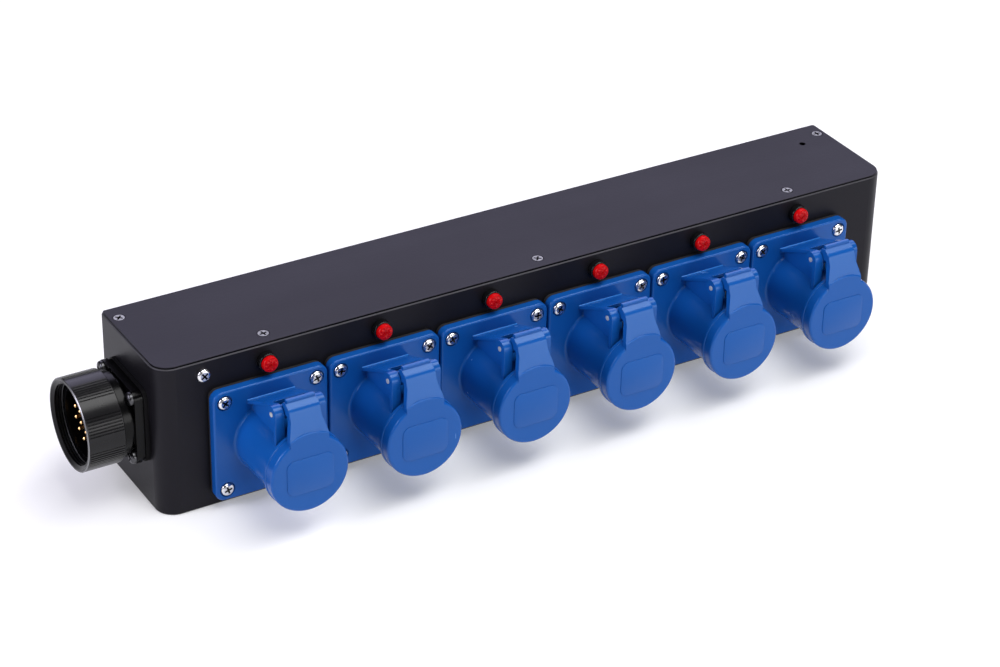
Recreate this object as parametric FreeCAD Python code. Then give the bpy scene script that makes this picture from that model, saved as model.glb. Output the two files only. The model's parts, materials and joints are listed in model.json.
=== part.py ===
import FreeCAD, Part
import os
from math import asin, atan2, cos, hypot, pi, radians, sin, sqrt, tan

V = FreeCAD.Vector

# Stage power distribution box: a folded steel housing with six flapped industrial sockets, six lamps
# and a multipin inlet. Millimetres. The origin is the middle of the underside, +X runs to the right
# seen from the socket side, the sockets face -Y and +Z is up.
# "Out" is a distance in front of the housing's front face, "left" one beyond its left end face.

# Housing and lid
box_length = 520.0
box_depth = 80.0
box_height = 100.8
wall = 1.5
front_bend = 12.0
back_bend = 2.5
floor_bend = 1.4
rim_round = 0.8
lid_thickness = 1.2
lid_inset = 0.8
lid_vent_radius = 2.1
lid_vent_from_end = 23.9
lid_vent_from_back = 20.6

# Lid screws, their tabs and clinch nuts
lid_row_from_end = 72.0
lid_screw_row_x = 1.0
lid_screw_from_front = 10.5
lid_screw_from_back = 12.8
lid_screw_from_end = 6.5
lid_screw_past_nut = 0.3
lid_head_radius = 3.8
tab_width = 18.0
tab_margin = 7.0
lid_nut_radius = 3.5
lid_nut_height = 2.0

# Common M4 hardware
shank_radius = 1.95
shank_clearance = 0.25
thread_clearance = 0.1
pan_head_radius = 4.2
pan_head_height = 2.8
pan_head_round = 1.5
nut_flats = 7.0
nut_height = 3.2
shank_past_nut = 1.5

# Row of sockets
socket_count = 6
socket_gap = 1.25
socket_row_x = -1.7
socket_drop = 6.3

# Socket flange and gasket
flange_size = 74.8
flange_corner = 6.0
flange_thickness = 5.5
flange_edge_round = 1.2
flange_rim = 3.0
flange_core_depth = 3.0
flange_boss_radius = 6.0
socket_screw_spacing = 60.0
screw_recess = 1.6
recess_clearance = 0.7
gasket_thickness = 2.6
gasket_inset = 0.4

# Socket barrel
barrel_reach = 52.0
barrel_root_radius = 23.9
barrel_mouth_radius = 23.2
barrel_root_round = 1.5
bore_radius = 21.2
mouth_radius = 21.5
mouth_depth = 7.5
key_width = 6.0
key_depth = 0.9
sleeve_wall = 2.5
sleeve_depth = 16.0
cutout_clearance = 0.6

# Contact carrier and contact sleeves
carrier_radius = 17.8
carrier_fit = 0.15
carrier_recess = 8.0
carrier_length = 26.0
carrier_seat = 6.0
contact_circle = 9.2
line_pin_radius = 2.6
earth_pin_radius = 2.8
contact_wall = 1.0
contact_fit = 0.1
contact_setback = 8.0
contact_tail = 4.0
contact_bore_depth = 32.0

# Flap hinge
hinge_setback = 10.7
hinge_lift = 13.4
pin_radius = 1.5
pin_seat_clearance = 0.02
pin_run_clearance = 0.05
pin_proud = 0.4
knuckle_radius = 4.4
knuckle_half = 10.0
knuckle_side_gap = 0.5
ear_width = 5.8
ear_thickness = 3.0
ear_to_skirt = 1.5
web = 2.0
roof_step = 3.8
roof_thickness = 2.0
roof_half_root = 15.8
roof_half_waist = 14.2
roof_slot_reach = 10.2

# Flap
flap_thickness = 2.5
flap_edge_round = 1.6
skirt_gap = 0.8
skirt_wall = 1.2
skirt_depth = 9.5
skirt_bead = 0.4
skirt_bead_width = 2.2
seal_gap = 0.3
seal_thickness = 2.7
seal_width = 4.5
seal_fit = 0.15
neck_thickness = 4.0
neck_foot = 16.2
neck_foot_half = 12.5
neck_round = 5.0
neck_lean = 1.5
neck_ease = 1.2
neck_pad_rise = 2.6
neck_pad_round = 0.8
neck_knee_drop = 3.1
neck_tip_round = 1.0
neck_hollow_round = 2.0
thumb_bar_half = 9.0
thumb_bar_depth = 2.8
thumb_bar_round = 0.8

# Side-view points of the neck and thumb bar, as (out, up) from the hinge axis
neck_crown = (9.7, 5.4)
neck_tip = (5.4, 8.0)
neck_heel = (1.8, 7.4)
neck_hollow = (7.2, 1.8)
thumb_bar_start = (2.6, 6.6)
thumb_bar_top = 10.0

# Torsion spring on the hinge pin
spring_wire = 0.55
spring_turns = 6
spring_coil_radius = 3.0
spring_side_gap = 0.5
spring_slot_gap = 0.5
spring_leg_clearance = 0.3

# Lamps
lamp_x_offset = 0.9
lamp_axis_share = 0.4715
lamp_bezel_radius = 6.0
lamp_bezel_height = 4.4
lamp_bezel_round = 0.5
lamp_lens_radius = 5.0
lamp_lens_fit = 0.1
lamp_lens_seat = 1.0
lamp_lens_reach = 6.4
lamp_lens_draft = 0.3
lamp_lens_round = 1.2
lamp_barrel_radius = 3.5
lamp_depth = 17.5
lamp_tag_radius = 0.6
lamp_tag_length = 5.0
lamp_tag_spacing = 3.0
lamp_nut_flats = 10.0
lamp_nut_height = 2.5

# Multipin inlet on the left end
inlet_axis_z = 56.0
inlet_flange_size = 50.0
inlet_flange_corner = 6.0
inlet_flange_thickness = 3.4
inlet_foot_thickness = 2.5
inlet_foot_inset = 1.0
inlet_gasket_thickness = 2.5
inlet_screw_spacing = 40.0
inlet_rear_radius = 21.5
inlet_rear_depth = 8.0
inlet_cutout_clearance = 0.5
inlet_neck_radius = 23.4
inlet_neck_length = 3.0
inlet_collar_radius = 26.8
inlet_collar_length = 4.2
inlet_barrel_radius = 23.4
inlet_barrel_reach = 33.0
inlet_barrel_wall = 2.6
insert_wall = 4.3
insert_fit = 0.1
insert_reach = 22.0
inlet_pin_radius = 1.2
inlet_pin_fit = 0.05
inlet_pin_reach = 30.5
inlet_pin_tip = 0.6
inlet_pin_tail = 4.0
inner_pin_circle = 7.4
inner_pin_count = 6
inner_pin_turn = 24.0
outer_pin_circle = 14.2
outer_pin_count = 12
outer_pin_turn = 12.0

# Coupling ring and its retainer
ring_radius = 28.8
ring_reach = 39.8
ring_collar_gap = 0.6
ring_web = 3.7
ring_run_clearance = 0.05
ring_thread_radius = 25.0
ring_thread_length = 5.8
ring_relief_radius = 25.8
ring_lead_in = 0.8
ring_edge = 0.4
retainer_gap = 0.3
retainer_thickness = 1.5
retainer_groove = 0.9
retainer_rise = 1.9
retainer_fit = 0.05

# Earth terminal
earth_from_end = 28.6
earth_from_top = 8.6
lug_thickness = 1.0
lug_radius = 4.5
lug_tail_width = 5.0
lug_crimp_radius = 2.2
lug_crimp_start = 8.0
lug_crimp_length = 7.0

# Wiring
loom_radius = 8.0
loom_root_radius = 16.5
loom_root_length = 10.0
loom_lead_share = 0.433
loom_swing_share = 0.693
loom_past_last = 14.0
branch_radius = 4.0
branch_spread = 8.0
thin_lead_radius = 1.4
lead_rise_bend = 9.0
saddle_width = 10.0
saddle_height = 18.0
saddle_fit = 0.1

# Derived places along "out"
flange_front = gasket_thickness + flange_thickness
screw_seat = flange_front - screw_recess
flap_inside = barrel_reach + seal_gap + seal_thickness
flap_face = flap_inside + flap_thickness
skirt_inner = barrel_mouth_radius + skirt_gap
skirt_outer = skirt_inner + skirt_wall
skirt_back = flap_face - skirt_depth
hinge_out = barrel_reach - hinge_setback
hinge_up = barrel_mouth_radius + hinge_lift
ear_front = skirt_back - ear_to_skirt
boss_radius = ear_front - hinge_out
ear_inner = knuckle_half + knuckle_side_gap
ear_outer = ear_inner + ear_width
roof_root = barrel_root_radius + roof_step
carrier_front = barrel_reach - carrier_recess
carrier_back = carrier_front - carrier_length
bore_floor = carrier_back + carrier_seat
contact_front = carrier_front - contact_setback
contact_back = -sleeve_depth - contact_tail
sleeve_bore = carrier_radius + carrier_fit
sleeve_radius = sleeve_bore + sleeve_wall

# Derived places along "left"
inlet_foot_top = inlet_gasket_thickness + inlet_foot_thickness
inlet_face = inlet_foot_top + inlet_flange_thickness
collar_start = inlet_face + inlet_neck_length
collar_end = collar_start + inlet_collar_length
ring_start = collar_end + ring_collar_gap
ring_web_end = ring_start + ring_web
retainer_start = ring_web_end + retainer_gap
insert_radius = inlet_barrel_radius - insert_wall
insert_back = -inlet_rear_depth
inlet_pin_back = insert_back - inlet_pin_tail

# Derived places across the box
clear_shank = shank_radius + shank_clearance
lid_top = box_height + lid_thickness
lid_screw_pitch = box_length / 2 - lid_row_from_end
lid_screw_length = lid_thickness + wall + lid_nut_height + lid_screw_past_nut
socket_pitch = flange_size + socket_gap
socket_axis_z = box_height / 2 - socket_drop
flange_top = socket_axis_z + flange_size / 2
lamp_axis_z = flange_top + lamp_axis_share * (box_height - flange_top)
earth_x = earth_from_end - box_length / 2
earth_z = box_height - earth_from_top
tab_under = box_height - wall
back_inside = box_depth / 2 - wall
loom_y = back_inside - loom_radius - saddle_fit - wall
socket_xs = [socket_row_x + (i - (socket_count - 1) / 2) * socket_pitch for i in range(socket_count)]


def front(out):
    """Y of a point that lies this far in front of the housing's front face."""
    return -box_depth / 2 - out


def end(left):
    """X of a point that lies this far beyond the housing's left end face."""
    return -box_length / 2 - left


def rounded_wire(corners, place):
    """Closed wire through flat corners (a, b, radius), put into space by place(point)."""
    ends = []
    for i, (a, b, radius) in enumerate(corners):
        corner = V(a, b, 0)
        after = corners[(i + 1) % len(corners)]
        back = (V(corners[i - 1][0], corners[i - 1][1], 0) - corner).normalize()
        ahead = (V(after[0], after[1], 0) - corner).normalize()
        half = back.getAngle(ahead) / 2
        bisector = (back + ahead).normalize() if radius else V()
        trim = radius / tan(half)
        middle = corner + bisector * (radius / sin(half) - radius)
        ends.append((corner + back * trim, middle, corner + ahead * trim))
    edges = []
    for i, (start, middle, stop) in enumerate(ends):
        if start != stop:
            edges.append(Part.Arc(place(start), place(middle), place(stop)).toShape())
        following = ends[(i + 1) % len(ends)][0]
        if (following - stop).Length > 1e-6:
            edges.append(Part.LineSegment(place(stop), place(following)).toShape())
    return Part.Wire(edges)


def rectangle(a0, b0, a1, b1, radius=0.0):
    """Corners of an upright rectangle, all with one radius."""
    return [(a0, b0, radius), (a1, b0, radius), (a1, b1, radius), (a0, b1, radius)]


def square(size, radius, inset=0.0):
    """Corners of a centred square, taken in on all sides by inset."""
    half = size / 2 - inset
    return rectangle(-half, -half, half, half, max(radius - inset, 0.0))


def hexagon(flats):
    """Corners of a centred hexagon of this width across its flats."""
    reach = flats / sqrt(3)
    return [(reach * cos(i * pi / 3), reach * sin(i * pi / 3), 0) for i in range(6)]


def prism_up(corners, z0, z1):
    """Prism over plan corners (x, y)."""
    wire = rounded_wire(corners, lambda p: V(p.x, p.y, z0))
    return Part.Face(wire).extrude(V(0, 0, z1 - z0))


def prism_out(corners, out0, out1):
    """Prism over front-view corners (x, z)."""
    wire = rounded_wire(corners, lambda p: V(p.x, front(out0), p.y))
    return Part.Face(wire).extrude(V(0, out0 - out1, 0))


def prism_across(corners, x0, x1):
    """Prism over side-view corners (out, z)."""
    wire = rounded_wire(corners, lambda p: V(x0, front(p.x), p.y))
    return Part.Face(wire).extrude(V(x1 - x0, 0, 0))


def prism_left(corners, left0, left1):
    """Prism over end-view corners (y, height above the inlet's axis)."""
    wire = rounded_wire(corners, lambda p: V(end(left0), p.x, inlet_axis_z + p.y))
    return Part.Face(wire).extrude(V(left0 - left1, 0, 0))


def rod_up(radius, z0, z1, x, y):
    return Part.makeCylinder(radius, z1 - z0, V(x, y, z0))


def rod_out(radius, out0, out1, x=0.0, z=0.0):
    return Part.makeCylinder(radius, out1 - out0, V(x, front(out0), z), V(0, -1, 0))


def rod_across(radius, x0, x1, out, z):
    return Part.makeCylinder(radius, x1 - x0, V(x0, front(out), z), V(1, 0, 0))


def rod_left(radius, left0, left1, y=0.0, up=0.0):
    return Part.makeCylinder(radius, left1 - left0, V(end(left0), y, inlet_axis_z + up), V(-1, 0, 0))


def cone_out(radius0, radius1, out0, out1):
    return Part.makeCone(radius0, radius1, out1 - out0, V(0, front(out0), 0), V(0, -1, 0))


def cone_left(radius0, radius1, left0, left1, y=0.0, up=0.0):
    base = V(end(left0), y, inlet_axis_z + up)
    return Part.makeCone(radius0, radius1, left1 - left0, base, V(-1, 0, 0))


def box_out(x0, x1, out0, out1, z0, z1):
    return Part.makeBox(x1 - x0, out1 - out0, z1 - z0, V(x0, front(out1), z0))


def edges_at(shape, low, high, value):
    """Edges of a shape that lie in the plane where both bounds, such as YMin and YMax, are value."""
    found = []
    for edge in shape.Edges:
        bounds = edge.BoundBox
        if abs(getattr(bounds, low) - value) < 0.01 and abs(getattr(bounds, high) - value) < 0.01:
            found.append(edge)
    return found


def round_front(shape, out, radius):
    """Round the edges of a shape that lie this far out."""
    return shape.makeFillet(radius, edges_at(shape, "YMin", "YMax", front(out)))


def corner_places(spacing):
    """The four corners (a, b) of a square hole pattern."""
    half = spacing / 2
    return [(a, b) for a in (-half, half) for b in (-half, half)]


def group(shapes):
    """One node that holds several separate solids."""
    return Part.makeCompound(shapes)


def at_sockets(shape):
    """Copies of a shape, made on the socket axis at X = 0, at every socket."""
    return [shape.translated(V(x, 0, socket_axis_z)) for x in socket_xs]


def at_lamps(shape):
    """Copies of a shape, made on the lamp axis at X = 0, above every socket."""
    return [shape.translated(V(x + lamp_x_offset, 0, lamp_axis_z)) for x in socket_xs]


def plan(inset):
    """Plan corners of the housing, taken in by inset, with large bends at the front."""
    x = box_length / 2 - inset
    y = box_depth / 2 - inset
    soft = front_bend - inset
    tight = max(back_bend - inset, 0.0)
    return [(-x, -y, soft), (x, -y, soft), (x, y, tight), (-x, y, tight)]


def lid_screw_places():
    """Places (x, y) of the lid screws: a row along the front and one in each back corner."""
    row_y = lid_screw_from_front - box_depth / 2
    corner_y = box_depth / 2 - lid_screw_from_back
    corner_x = box_length / 2 - lid_screw_from_end
    row = [(lid_screw_row_x + i * lid_screw_pitch, row_y) for i in (-1, 0, 1)]
    return row + [(-corner_x, corner_y), (corner_x, corner_y)]


def lid_tabs():
    """Inward tabs under the lid: strips along the front wall and gussets in the back corners."""
    places = lid_screw_places()
    front_inside = wall - box_depth / 2
    tabs = []
    for x, y in places[:3]:
        corners = rectangle(x - tab_width / 2, front_inside - wall / 2, x + tab_width / 2, y + tab_margin)
        tabs.append(prism_up(corners, tab_under, box_height))
    for x, y in places[3:]:
        side = 1 if x > 0 else -1
        wall_x = side * (box_length / 2 - wall / 2)
        near, far = sorted((wall_x, x - side * tab_margin))
        corners = rectangle(near, y - tab_margin, far, back_inside + wall / 2)
        tabs.append(prism_up(corners, tab_under, box_height))
    return tabs


def lid_sink_radius():
    """Radius of the lid's countersink where it reaches the tab below."""
    return max(clear_shank, lid_head_radius + thread_clearance - lid_thickness)


def make_housing():
    """Folded tray, open at the top, with its tabs and every cut-out."""
    outer = prism_up(plan(0), 0, box_height)
    outer = outer.makeFillet(floor_bend, edges_at(outer, "ZMin", "ZMax", 0))
    outer = outer.makeFillet(rim_round, edges_at(outer, "ZMin", "ZMax", box_height))
    tray = outer.cut(prism_up(plan(wall), wall, box_height + wall)).fuse(lid_tabs())
    through = (-2 * wall, wall)
    cuts = [rod_up(lid_sink_radius(), tab_under - wall, lid_top, x, y) for x, y in lid_screw_places()]
    cuts += at_sockets(rod_out(sleeve_radius + cutout_clearance, *through))
    for x, z in corner_places(socket_screw_spacing):
        cuts += at_sockets(rod_out(clear_shank, *through, x, z))
    cuts += at_lamps(rod_out(lamp_barrel_radius + shank_clearance, *through))
    cuts.append(rod_left(inlet_rear_radius + inlet_cutout_clearance, *through))
    cuts += [rod_left(clear_shank, *through, y, up) for y, up in corner_places(inlet_screw_spacing)]
    cuts.append(rod_out(clear_shank, *through, earth_x, earth_z))
    return tray.cut(cuts).removeSplitter()


def make_lid():
    """Flat lid with countersunk screw holes and one small plain hole."""
    lid = prism_up(plan(lid_inset), box_height, lid_top)
    head = lid_head_radius + thread_clearance
    cuts = []
    for x, y in lid_screw_places():
        cuts.append(rod_up(clear_shank, box_height - wall, lid_top, x, y))
        depth = head - clear_shank
        cuts.append(Part.makeCone(clear_shank, head, depth, V(x, y, lid_top - depth)))
    vent_x = box_length / 2 - lid_vent_from_end
    vent_y = box_depth / 2 - lid_vent_from_back
    cuts.append(rod_up(lid_vent_radius, box_height - wall, lid_top + wall, vent_x, vent_y))
    return lid.cut(cuts)


def make_lid_screws():
    screws = []
    sink = lid_head_radius - shank_radius
    for x, y in lid_screw_places():
        head = Part.makeCone(shank_radius, lid_head_radius, sink, V(x, y, lid_top - sink))
        screws.append(head.fuse(rod_up(shank_radius, lid_top - lid_screw_length, lid_top - sink, x, y)))
    return group(screws)


def make_lid_nuts():
    nuts = []
    for x, y in lid_screw_places():
        nut = rod_up(lid_nut_radius, tab_under - lid_nut_height, tab_under, x, y)
        bore = shank_radius + thread_clearance
        nuts.append(nut.cut(rod_up(bore, tab_under - 2 * lid_nut_height, lid_top, x, y)))
    return group(nuts)


def pan_screw(seat, length):
    """Pan-head screw whose head sits this far out and whose shank runs inwards."""
    top = seat + pan_head_height
    head = round_front(rod_out(pan_head_radius, seat, top), top, pan_head_round)
    return head.fuse(rod_out(shank_radius, seat - length, seat))


def hex_nut(flats, height, bore, seat):
    """Hexagon nut whose outer face sits this far out."""
    nut = prism_out(hexagon(flats), seat - height, seat)
    return nut.cut(rod_out(bore, seat - 2 * height, seat + height))


def at_socket_corners(shape):
    """Copies of a shape at the four flange holes of every socket."""
    copies = []
    for x, z in corner_places(socket_screw_spacing):
        copies += at_sockets(shape.translated(V(x, 0, z)))
    return copies


def roof_slope_and_tip():
    """Slope of the hinge roof and the point (out, z) where it runs tangent into the ear bosses."""
    run = hinge_out - flange_front
    rise = hinge_up - roof_root
    reach = hypot(run, rise)
    slope = atan2(rise, run) + asin(boss_radius / reach)
    length = sqrt(reach ** 2 - boss_radius ** 2)
    return slope, (flange_front + length * cos(slope), roof_root + length * sin(slope))


def make_hinge_roof():
    """Sloped roof plate from the flange to the ears, waisted in plan and slotted for the flap's neck."""
    slope, tip = roof_slope_and_tip()
    root = (flange_front - web * cos(slope), roof_root - web * sin(slope))
    drop = (roof_thickness * sin(slope), -roof_thickness * cos(slope))
    upper = [(root[0], root[1], 0), (tip[0], tip[1], 0)]
    lower = [(a + drop[0], b + drop[1], 0) for a, b, radius in reversed(upper)]
    slab = prism_across(upper + lower, -ear_outer, ear_outer)
    middle = (flange_front + ear_front) / 2
    sides = []
    for side in (-1, 1):
        sides.append([V(side * roof_half_root, front(0), 0), V(side * roof_half_root, front(flange_front), 0),
                      V(side * roof_half_waist, front(middle), 0), V(side * ear_outer, front(ear_front), 0)])
    near, far = sides
    edges = [Part.makeLine(near[0], near[1]), Part.Arc(*near[1:]).toShape(),
             Part.makeLine(near[3], far[3]), Part.Arc(*reversed(far[1:])).toShape(),
             Part.makeLine(far[1], far[0]), Part.makeLine(far[0], near[0])]
    top = hinge_up + 2 * boss_radius
    outline = Part.Face(Part.Wire(edges)).extrude(V(0, 0, top))
    slot = box_out(-ear_inner, ear_inner, hinge_out - roof_slot_reach, ear_front, 0, top)
    return slab.common(outline).cut(slot)


def make_hinge_ears():
    """Webs, pin bosses and front strips of both hinge ears, running down into the barrel."""
    slope, tip = roof_slope_and_tip()
    low = bore_radius / 3
    profile = [(gasket_thickness, low, 0), (gasket_thickness, roof_root, 0), (flange_front, roof_root, 0),
               (tip[0], tip[1], 0), (hinge_out, hinge_up, 0), (ear_front, hinge_up, 0), (ear_front, low, 0)]
    pieces = []
    for side in (-1, 1):
        inner = side * ear_inner
        spans = [sorted((inner, inner + side * reach)) for reach in (web, ear_width)]
        pieces.append(prism_across(profile, *spans[0]))
        pieces.append(rod_across(boss_radius, *spans[1], hinge_out, hinge_up))
        pieces.append(box_out(*spans[1], ear_front - ear_thickness, ear_front, low, hinge_up))
    return pieces


def make_flange_core():
    """Hollow in the back of the flange, between its rim, its screw bosses and the sleeve."""
    top = gasket_thickness + flange_core_depth
    core = prism_out(square(flange_size, flange_corner, flange_rim), 0, top)
    posts = [rod_out(flange_boss_radius, 0, top, x, z) for x, z in corner_places(socket_screw_spacing)]
    return core.cut(posts + [rod_out(sleeve_radius + flange_rim, 0, top)])


def make_socket_body():
    """Moulded socket body: flange, tapered barrel, rear sleeve and hinge housing."""
    flange = round_front(prism_out(square(flange_size, flange_corner), gasket_thickness, flange_front),
                         flange_front, flange_edge_round)
    body = flange.fuse(cone_out(barrel_root_radius, barrel_mouth_radius, flange_front, barrel_reach))
    root = [edge for edge in edges_at(body, "YMin", "YMax", front(flange_front)) if edge.BoundBox.XLength
            < 2 * barrel_root_radius + 1]
    body = body.makeFillet(barrel_root_round, root)
    sleeve = rod_out(sleeve_radius, -sleeve_depth, flange_front)
    body = body.fuse([sleeve, make_hinge_roof()] + make_hinge_ears())
    past = barrel_reach + wall
    key = key_width / 2
    cuts = [rod_out(bore_radius, bore_floor, past),
            rod_out(mouth_radius, barrel_reach - mouth_depth, past),
            rod_out(sleeve_bore, -sleeve_depth - wall, past),
            box_out(-key, key, bore_floor, past, -bore_radius - key_depth, 0),
            rod_across(pin_radius + pin_seat_clearance, -2 * ear_outer, 2 * ear_outer, hinge_out, hinge_up),
            make_flange_core()]
    for x, z in corner_places(socket_screw_spacing):
        cuts.append(rod_out(clear_shank, 0, flange_front, x, z))
        cuts.append(rod_out(pan_head_radius + recess_clearance, screw_seat, flange_front + wall, x, z))
    return body.cut(cuts).removeSplitter()


def contact_places():
    """Places (x, z, pin radius) of the three contacts: earth at the bottom, the lines above it."""
    pins = [(-pi / 2, earth_pin_radius), (pi / 6, line_pin_radius), (5 * pi / 6, line_pin_radius)]
    return [(contact_circle * cos(turn), contact_circle * sin(turn), radius) for turn, radius in pins]


def make_contact_carrier():
    """Insulator whose back end sits in the socket's sleeve, with a straight hole for each contact."""
    carrier = rod_out(carrier_radius, carrier_back, carrier_front)
    through = (carrier_back - wall, carrier_front + wall)
    sleeve = contact_wall + contact_fit
    return carrier.cut([rod_out(radius + sleeve, *through, x, z) for x, z, radius in contact_places()])


def make_contact_sleeves():
    """Brass sleeves of one socket, open at the front, with a solid terminal behind the carrier."""
    sleeves = []
    for x, z, radius in contact_places():
        sleeve = rod_out(radius + contact_wall, contact_back, contact_front, x, z)
        bore = (contact_front - contact_bore_depth, contact_front + wall)
        sleeves.append(sleeve.cut(rod_out(radius, *bore, x, z)))
    return group(sleeves)


def make_socket_gasket():
    """Sheet gasket between a socket flange and the housing."""
    gasket = prism_out(square(flange_size, flange_corner, gasket_inset), 0, gasket_thickness)
    through = (-wall, gasket_thickness + wall)
    cuts = [rod_out(sleeve_radius + cutout_clearance, *through)]
    cuts += [rod_out(clear_shank, *through, x, z) for x, z in corner_places(socket_screw_spacing)]
    return gasket.cut(cuts)


def spring_half():
    """Half the length of the spring's closed coil."""
    return spring_turns * spring_wire


def spring_legs():
    """Legs of the spring as (x, start, stop) in side view: one down to the barrel, one into the neck."""
    inset = spring_half() - spring_wire
    rear = hinge_out - spring_coil_radius
    over = hinge_up + spring_coil_radius
    fixed = (-inset, (rear, hinge_up), (rear, barrel_root_radius + spring_wire))
    moving = (inset, (hinge_out, over), (hinge_out + 2 * knuckle_radius, over))
    return fixed, moving


def wire_run(x, start, stop, radius):
    """Straight wire in a plane of constant x between two side-view points (out, z)."""
    first = V(x, front(start[0]), start[1])
    last = V(x, front(stop[0]), stop[1])
    return Part.makeCylinder(radius, (last - first).Length, first, last - first)


def make_flap_spring():
    """Close-wound torsion spring: a scalloped coil on the hinge axis with two straight legs."""
    half = spring_half()
    root = spring_coil_radius
    inner = spring_coil_radius - spring_wire
    y = front(hinge_out)

    def point(x, radius):
        return V(x, y, hinge_up + radius)

    edges = []
    for i in range(spring_turns):
        start = -half + 2 * spring_wire * i
        edges.append(Part.Arc(point(start, root), point(start + spring_wire, root + spring_wire),
                              point(start + 2 * spring_wire, root)).toShape())
    edges += [Part.makeLine(point(half, root), point(half, inner)),
              Part.makeLine(point(half, inner), point(-half, inner)),
              Part.makeLine(point(-half, inner), point(-half, root))]
    coil = Part.Face(Part.Wire(edges)).revolve(V(0, y, hinge_up), V(1, 0, 0), 360)
    legs = [wire_run(x, start, stop, spring_wire) for x, start, stop in spring_legs()]
    return coil.fuse(legs)


def from_hinge(offset, radius=0.0):
    """Side-view corner (out, z, radius) of a point given from the hinge axis."""
    return (hinge_out + offset[0], hinge_up + offset[1], radius)


def make_neck():
    """Neck of the flap: a strap that leans back from a round pad on the cap to the hinge knuckle."""
    inside = flap_face - neck_thickness
    shoulder = skirt_outer + web
    knee = hinge_up - neck_knee_drop
    profile = [(flap_face, neck_foot, 0), (flap_face, skirt_outer - neck_ease, neck_round),
               from_hinge(neck_crown, neck_round), from_hinge(neck_tip, neck_tip_round),
               from_hinge(neck_heel, neck_tip_round), from_hinge((0, 0)), from_hinge((knuckle_radius, 0)),
               from_hinge(neck_hollow, neck_hollow_round),
               (inside - neck_lean - neck_ease, knee - neck_lean, neck_round),
               (inside, shoulder - neck_lean, 0), (inside, neck_foot, 0)]
    strap = prism_across(profile, -neck_foot_half, neck_foot_half)
    pad = round_front(rod_out(skirt_outer + neck_pad_rise, inside, flap_face), flap_face, neck_pad_round)
    top = hinge_up + 3 * knuckle_radius
    flare = shoulder - neck_ease
    waist = hinge_up - neck_ease
    view = [(-neck_foot_half, neck_foot, 0), (neck_foot_half, neck_foot, 0),
            (neck_foot_half, flare, neck_round), (knuckle_half, waist, neck_round),
            (knuckle_half, top, 0), (-knuckle_half, top, 0),
            (-knuckle_half, waist, neck_round), (-neck_foot_half, flare, neck_round)]
    return strap.fuse(pad).common(prism_out(view, hinge_out - knuckle_radius, flap_face + wall))


def make_thumb_bar():
    """Raised bar on top of the neck, for the thumb."""
    start, low = from_hinge(thumb_bar_start)[:2]
    corners = rectangle(start, low, start + thumb_bar_depth, hinge_up + thumb_bar_top, thumb_bar_round)
    return prism_across(corners, -thumb_bar_half, thumb_bar_half)


def make_flap():
    """Flap: a skirted cap with a seal seat, its neck, thumb bar and slotted knuckle."""
    cap = round_front(rod_out(skirt_outer, skirt_back, flap_face), flap_face, flap_edge_round)
    bead = round_front(rod_out(skirt_outer + skirt_bead, skirt_back, skirt_back + skirt_bead_width),
                       skirt_back + skirt_bead_width, skirt_bead * 0.9)
    knuckle = rod_across(knuckle_radius, -knuckle_half, knuckle_half, hinge_out, hinge_up)
    flap = cap.fuse([bead, make_neck(), make_thumb_bar(), knuckle])
    slot = spring_half() + spring_side_gap
    coil_room = spring_coil_radius + spring_wire + spring_slot_gap
    x, start, stop = spring_legs()[1]
    past = 2 * knuckle_half
    cuts = [rod_out(skirt_inner, hinge_out, flap_inside),
            rod_across(pin_radius + pin_run_clearance, -past, past, hinge_out, hinge_up),
            rod_across(coil_room, -slot, slot, hinge_out, hinge_up),
            wire_run(x, start, (stop[0] + spring_leg_clearance, stop[1]), spring_wire + spring_leg_clearance)]
    behind = hinge_out - knuckle_radius
    cuts.append(box_out(-slot, slot, behind - wall, hinge_out, hinge_up - coil_room, hinge_up + coil_room))
    return flap.cut(cuts).removeSplitter()


def make_flap_seal():
    """Rubber ring in the cap, facing the barrel's mouth."""
    outer = skirt_inner - seal_fit
    ring = rod_out(outer, barrel_reach + seal_gap, flap_inside)
    return ring.cut(rod_out(outer - seal_width, barrel_reach, flap_face))


def make_hinge_pin():
    reach = ear_outer + pin_proud
    return rod_across(pin_radius, -reach, reach, hinge_out, hinge_up)


def make_lamp_lens():
    """Coloured lens, slightly tapered with a rounded nose, seated in the bezel."""
    lens = cone_out(lamp_lens_radius, lamp_lens_radius - lamp_lens_draft, lamp_lens_seat, lamp_lens_reach)
    return round_front(lens, lamp_lens_reach, lamp_lens_round)


def make_lamp_body():
    """Bezel cup, threaded barrel and two solder tags of a lamp."""
    back = -wall - lamp_depth
    bezel = rod_out(lamp_bezel_radius, 0, lamp_bezel_height)
    bezel = round_front(bezel, lamp_bezel_height, lamp_bezel_round)
    half = lamp_tag_spacing / 2
    tags = [rod_out(lamp_tag_radius, back - lamp_tag_length, back, x) for x in (-half, half)]
    body = bezel.fuse([rod_out(lamp_barrel_radius, back, 0)] + tags)
    cup = rod_out(lamp_lens_radius + lamp_lens_fit, lamp_lens_seat, lamp_bezel_height + wall)
    return body.cut(cup).removeSplitter()


def inlet_corners():
    return corner_places(inlet_screw_spacing)


def make_inlet_gasket():
    gasket = prism_left(square(inlet_flange_size, inlet_flange_corner), 0, inlet_gasket_thickness)
    cuts = [rod_left(inlet_rear_radius + inlet_cutout_clearance, -wall, inlet_gasket_thickness + wall)]
    cuts += [rod_left(clear_shank, -wall, inlet_gasket_thickness + wall, y, up) for y, up in inlet_corners()]
    return gasket.cut(cuts)


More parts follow.
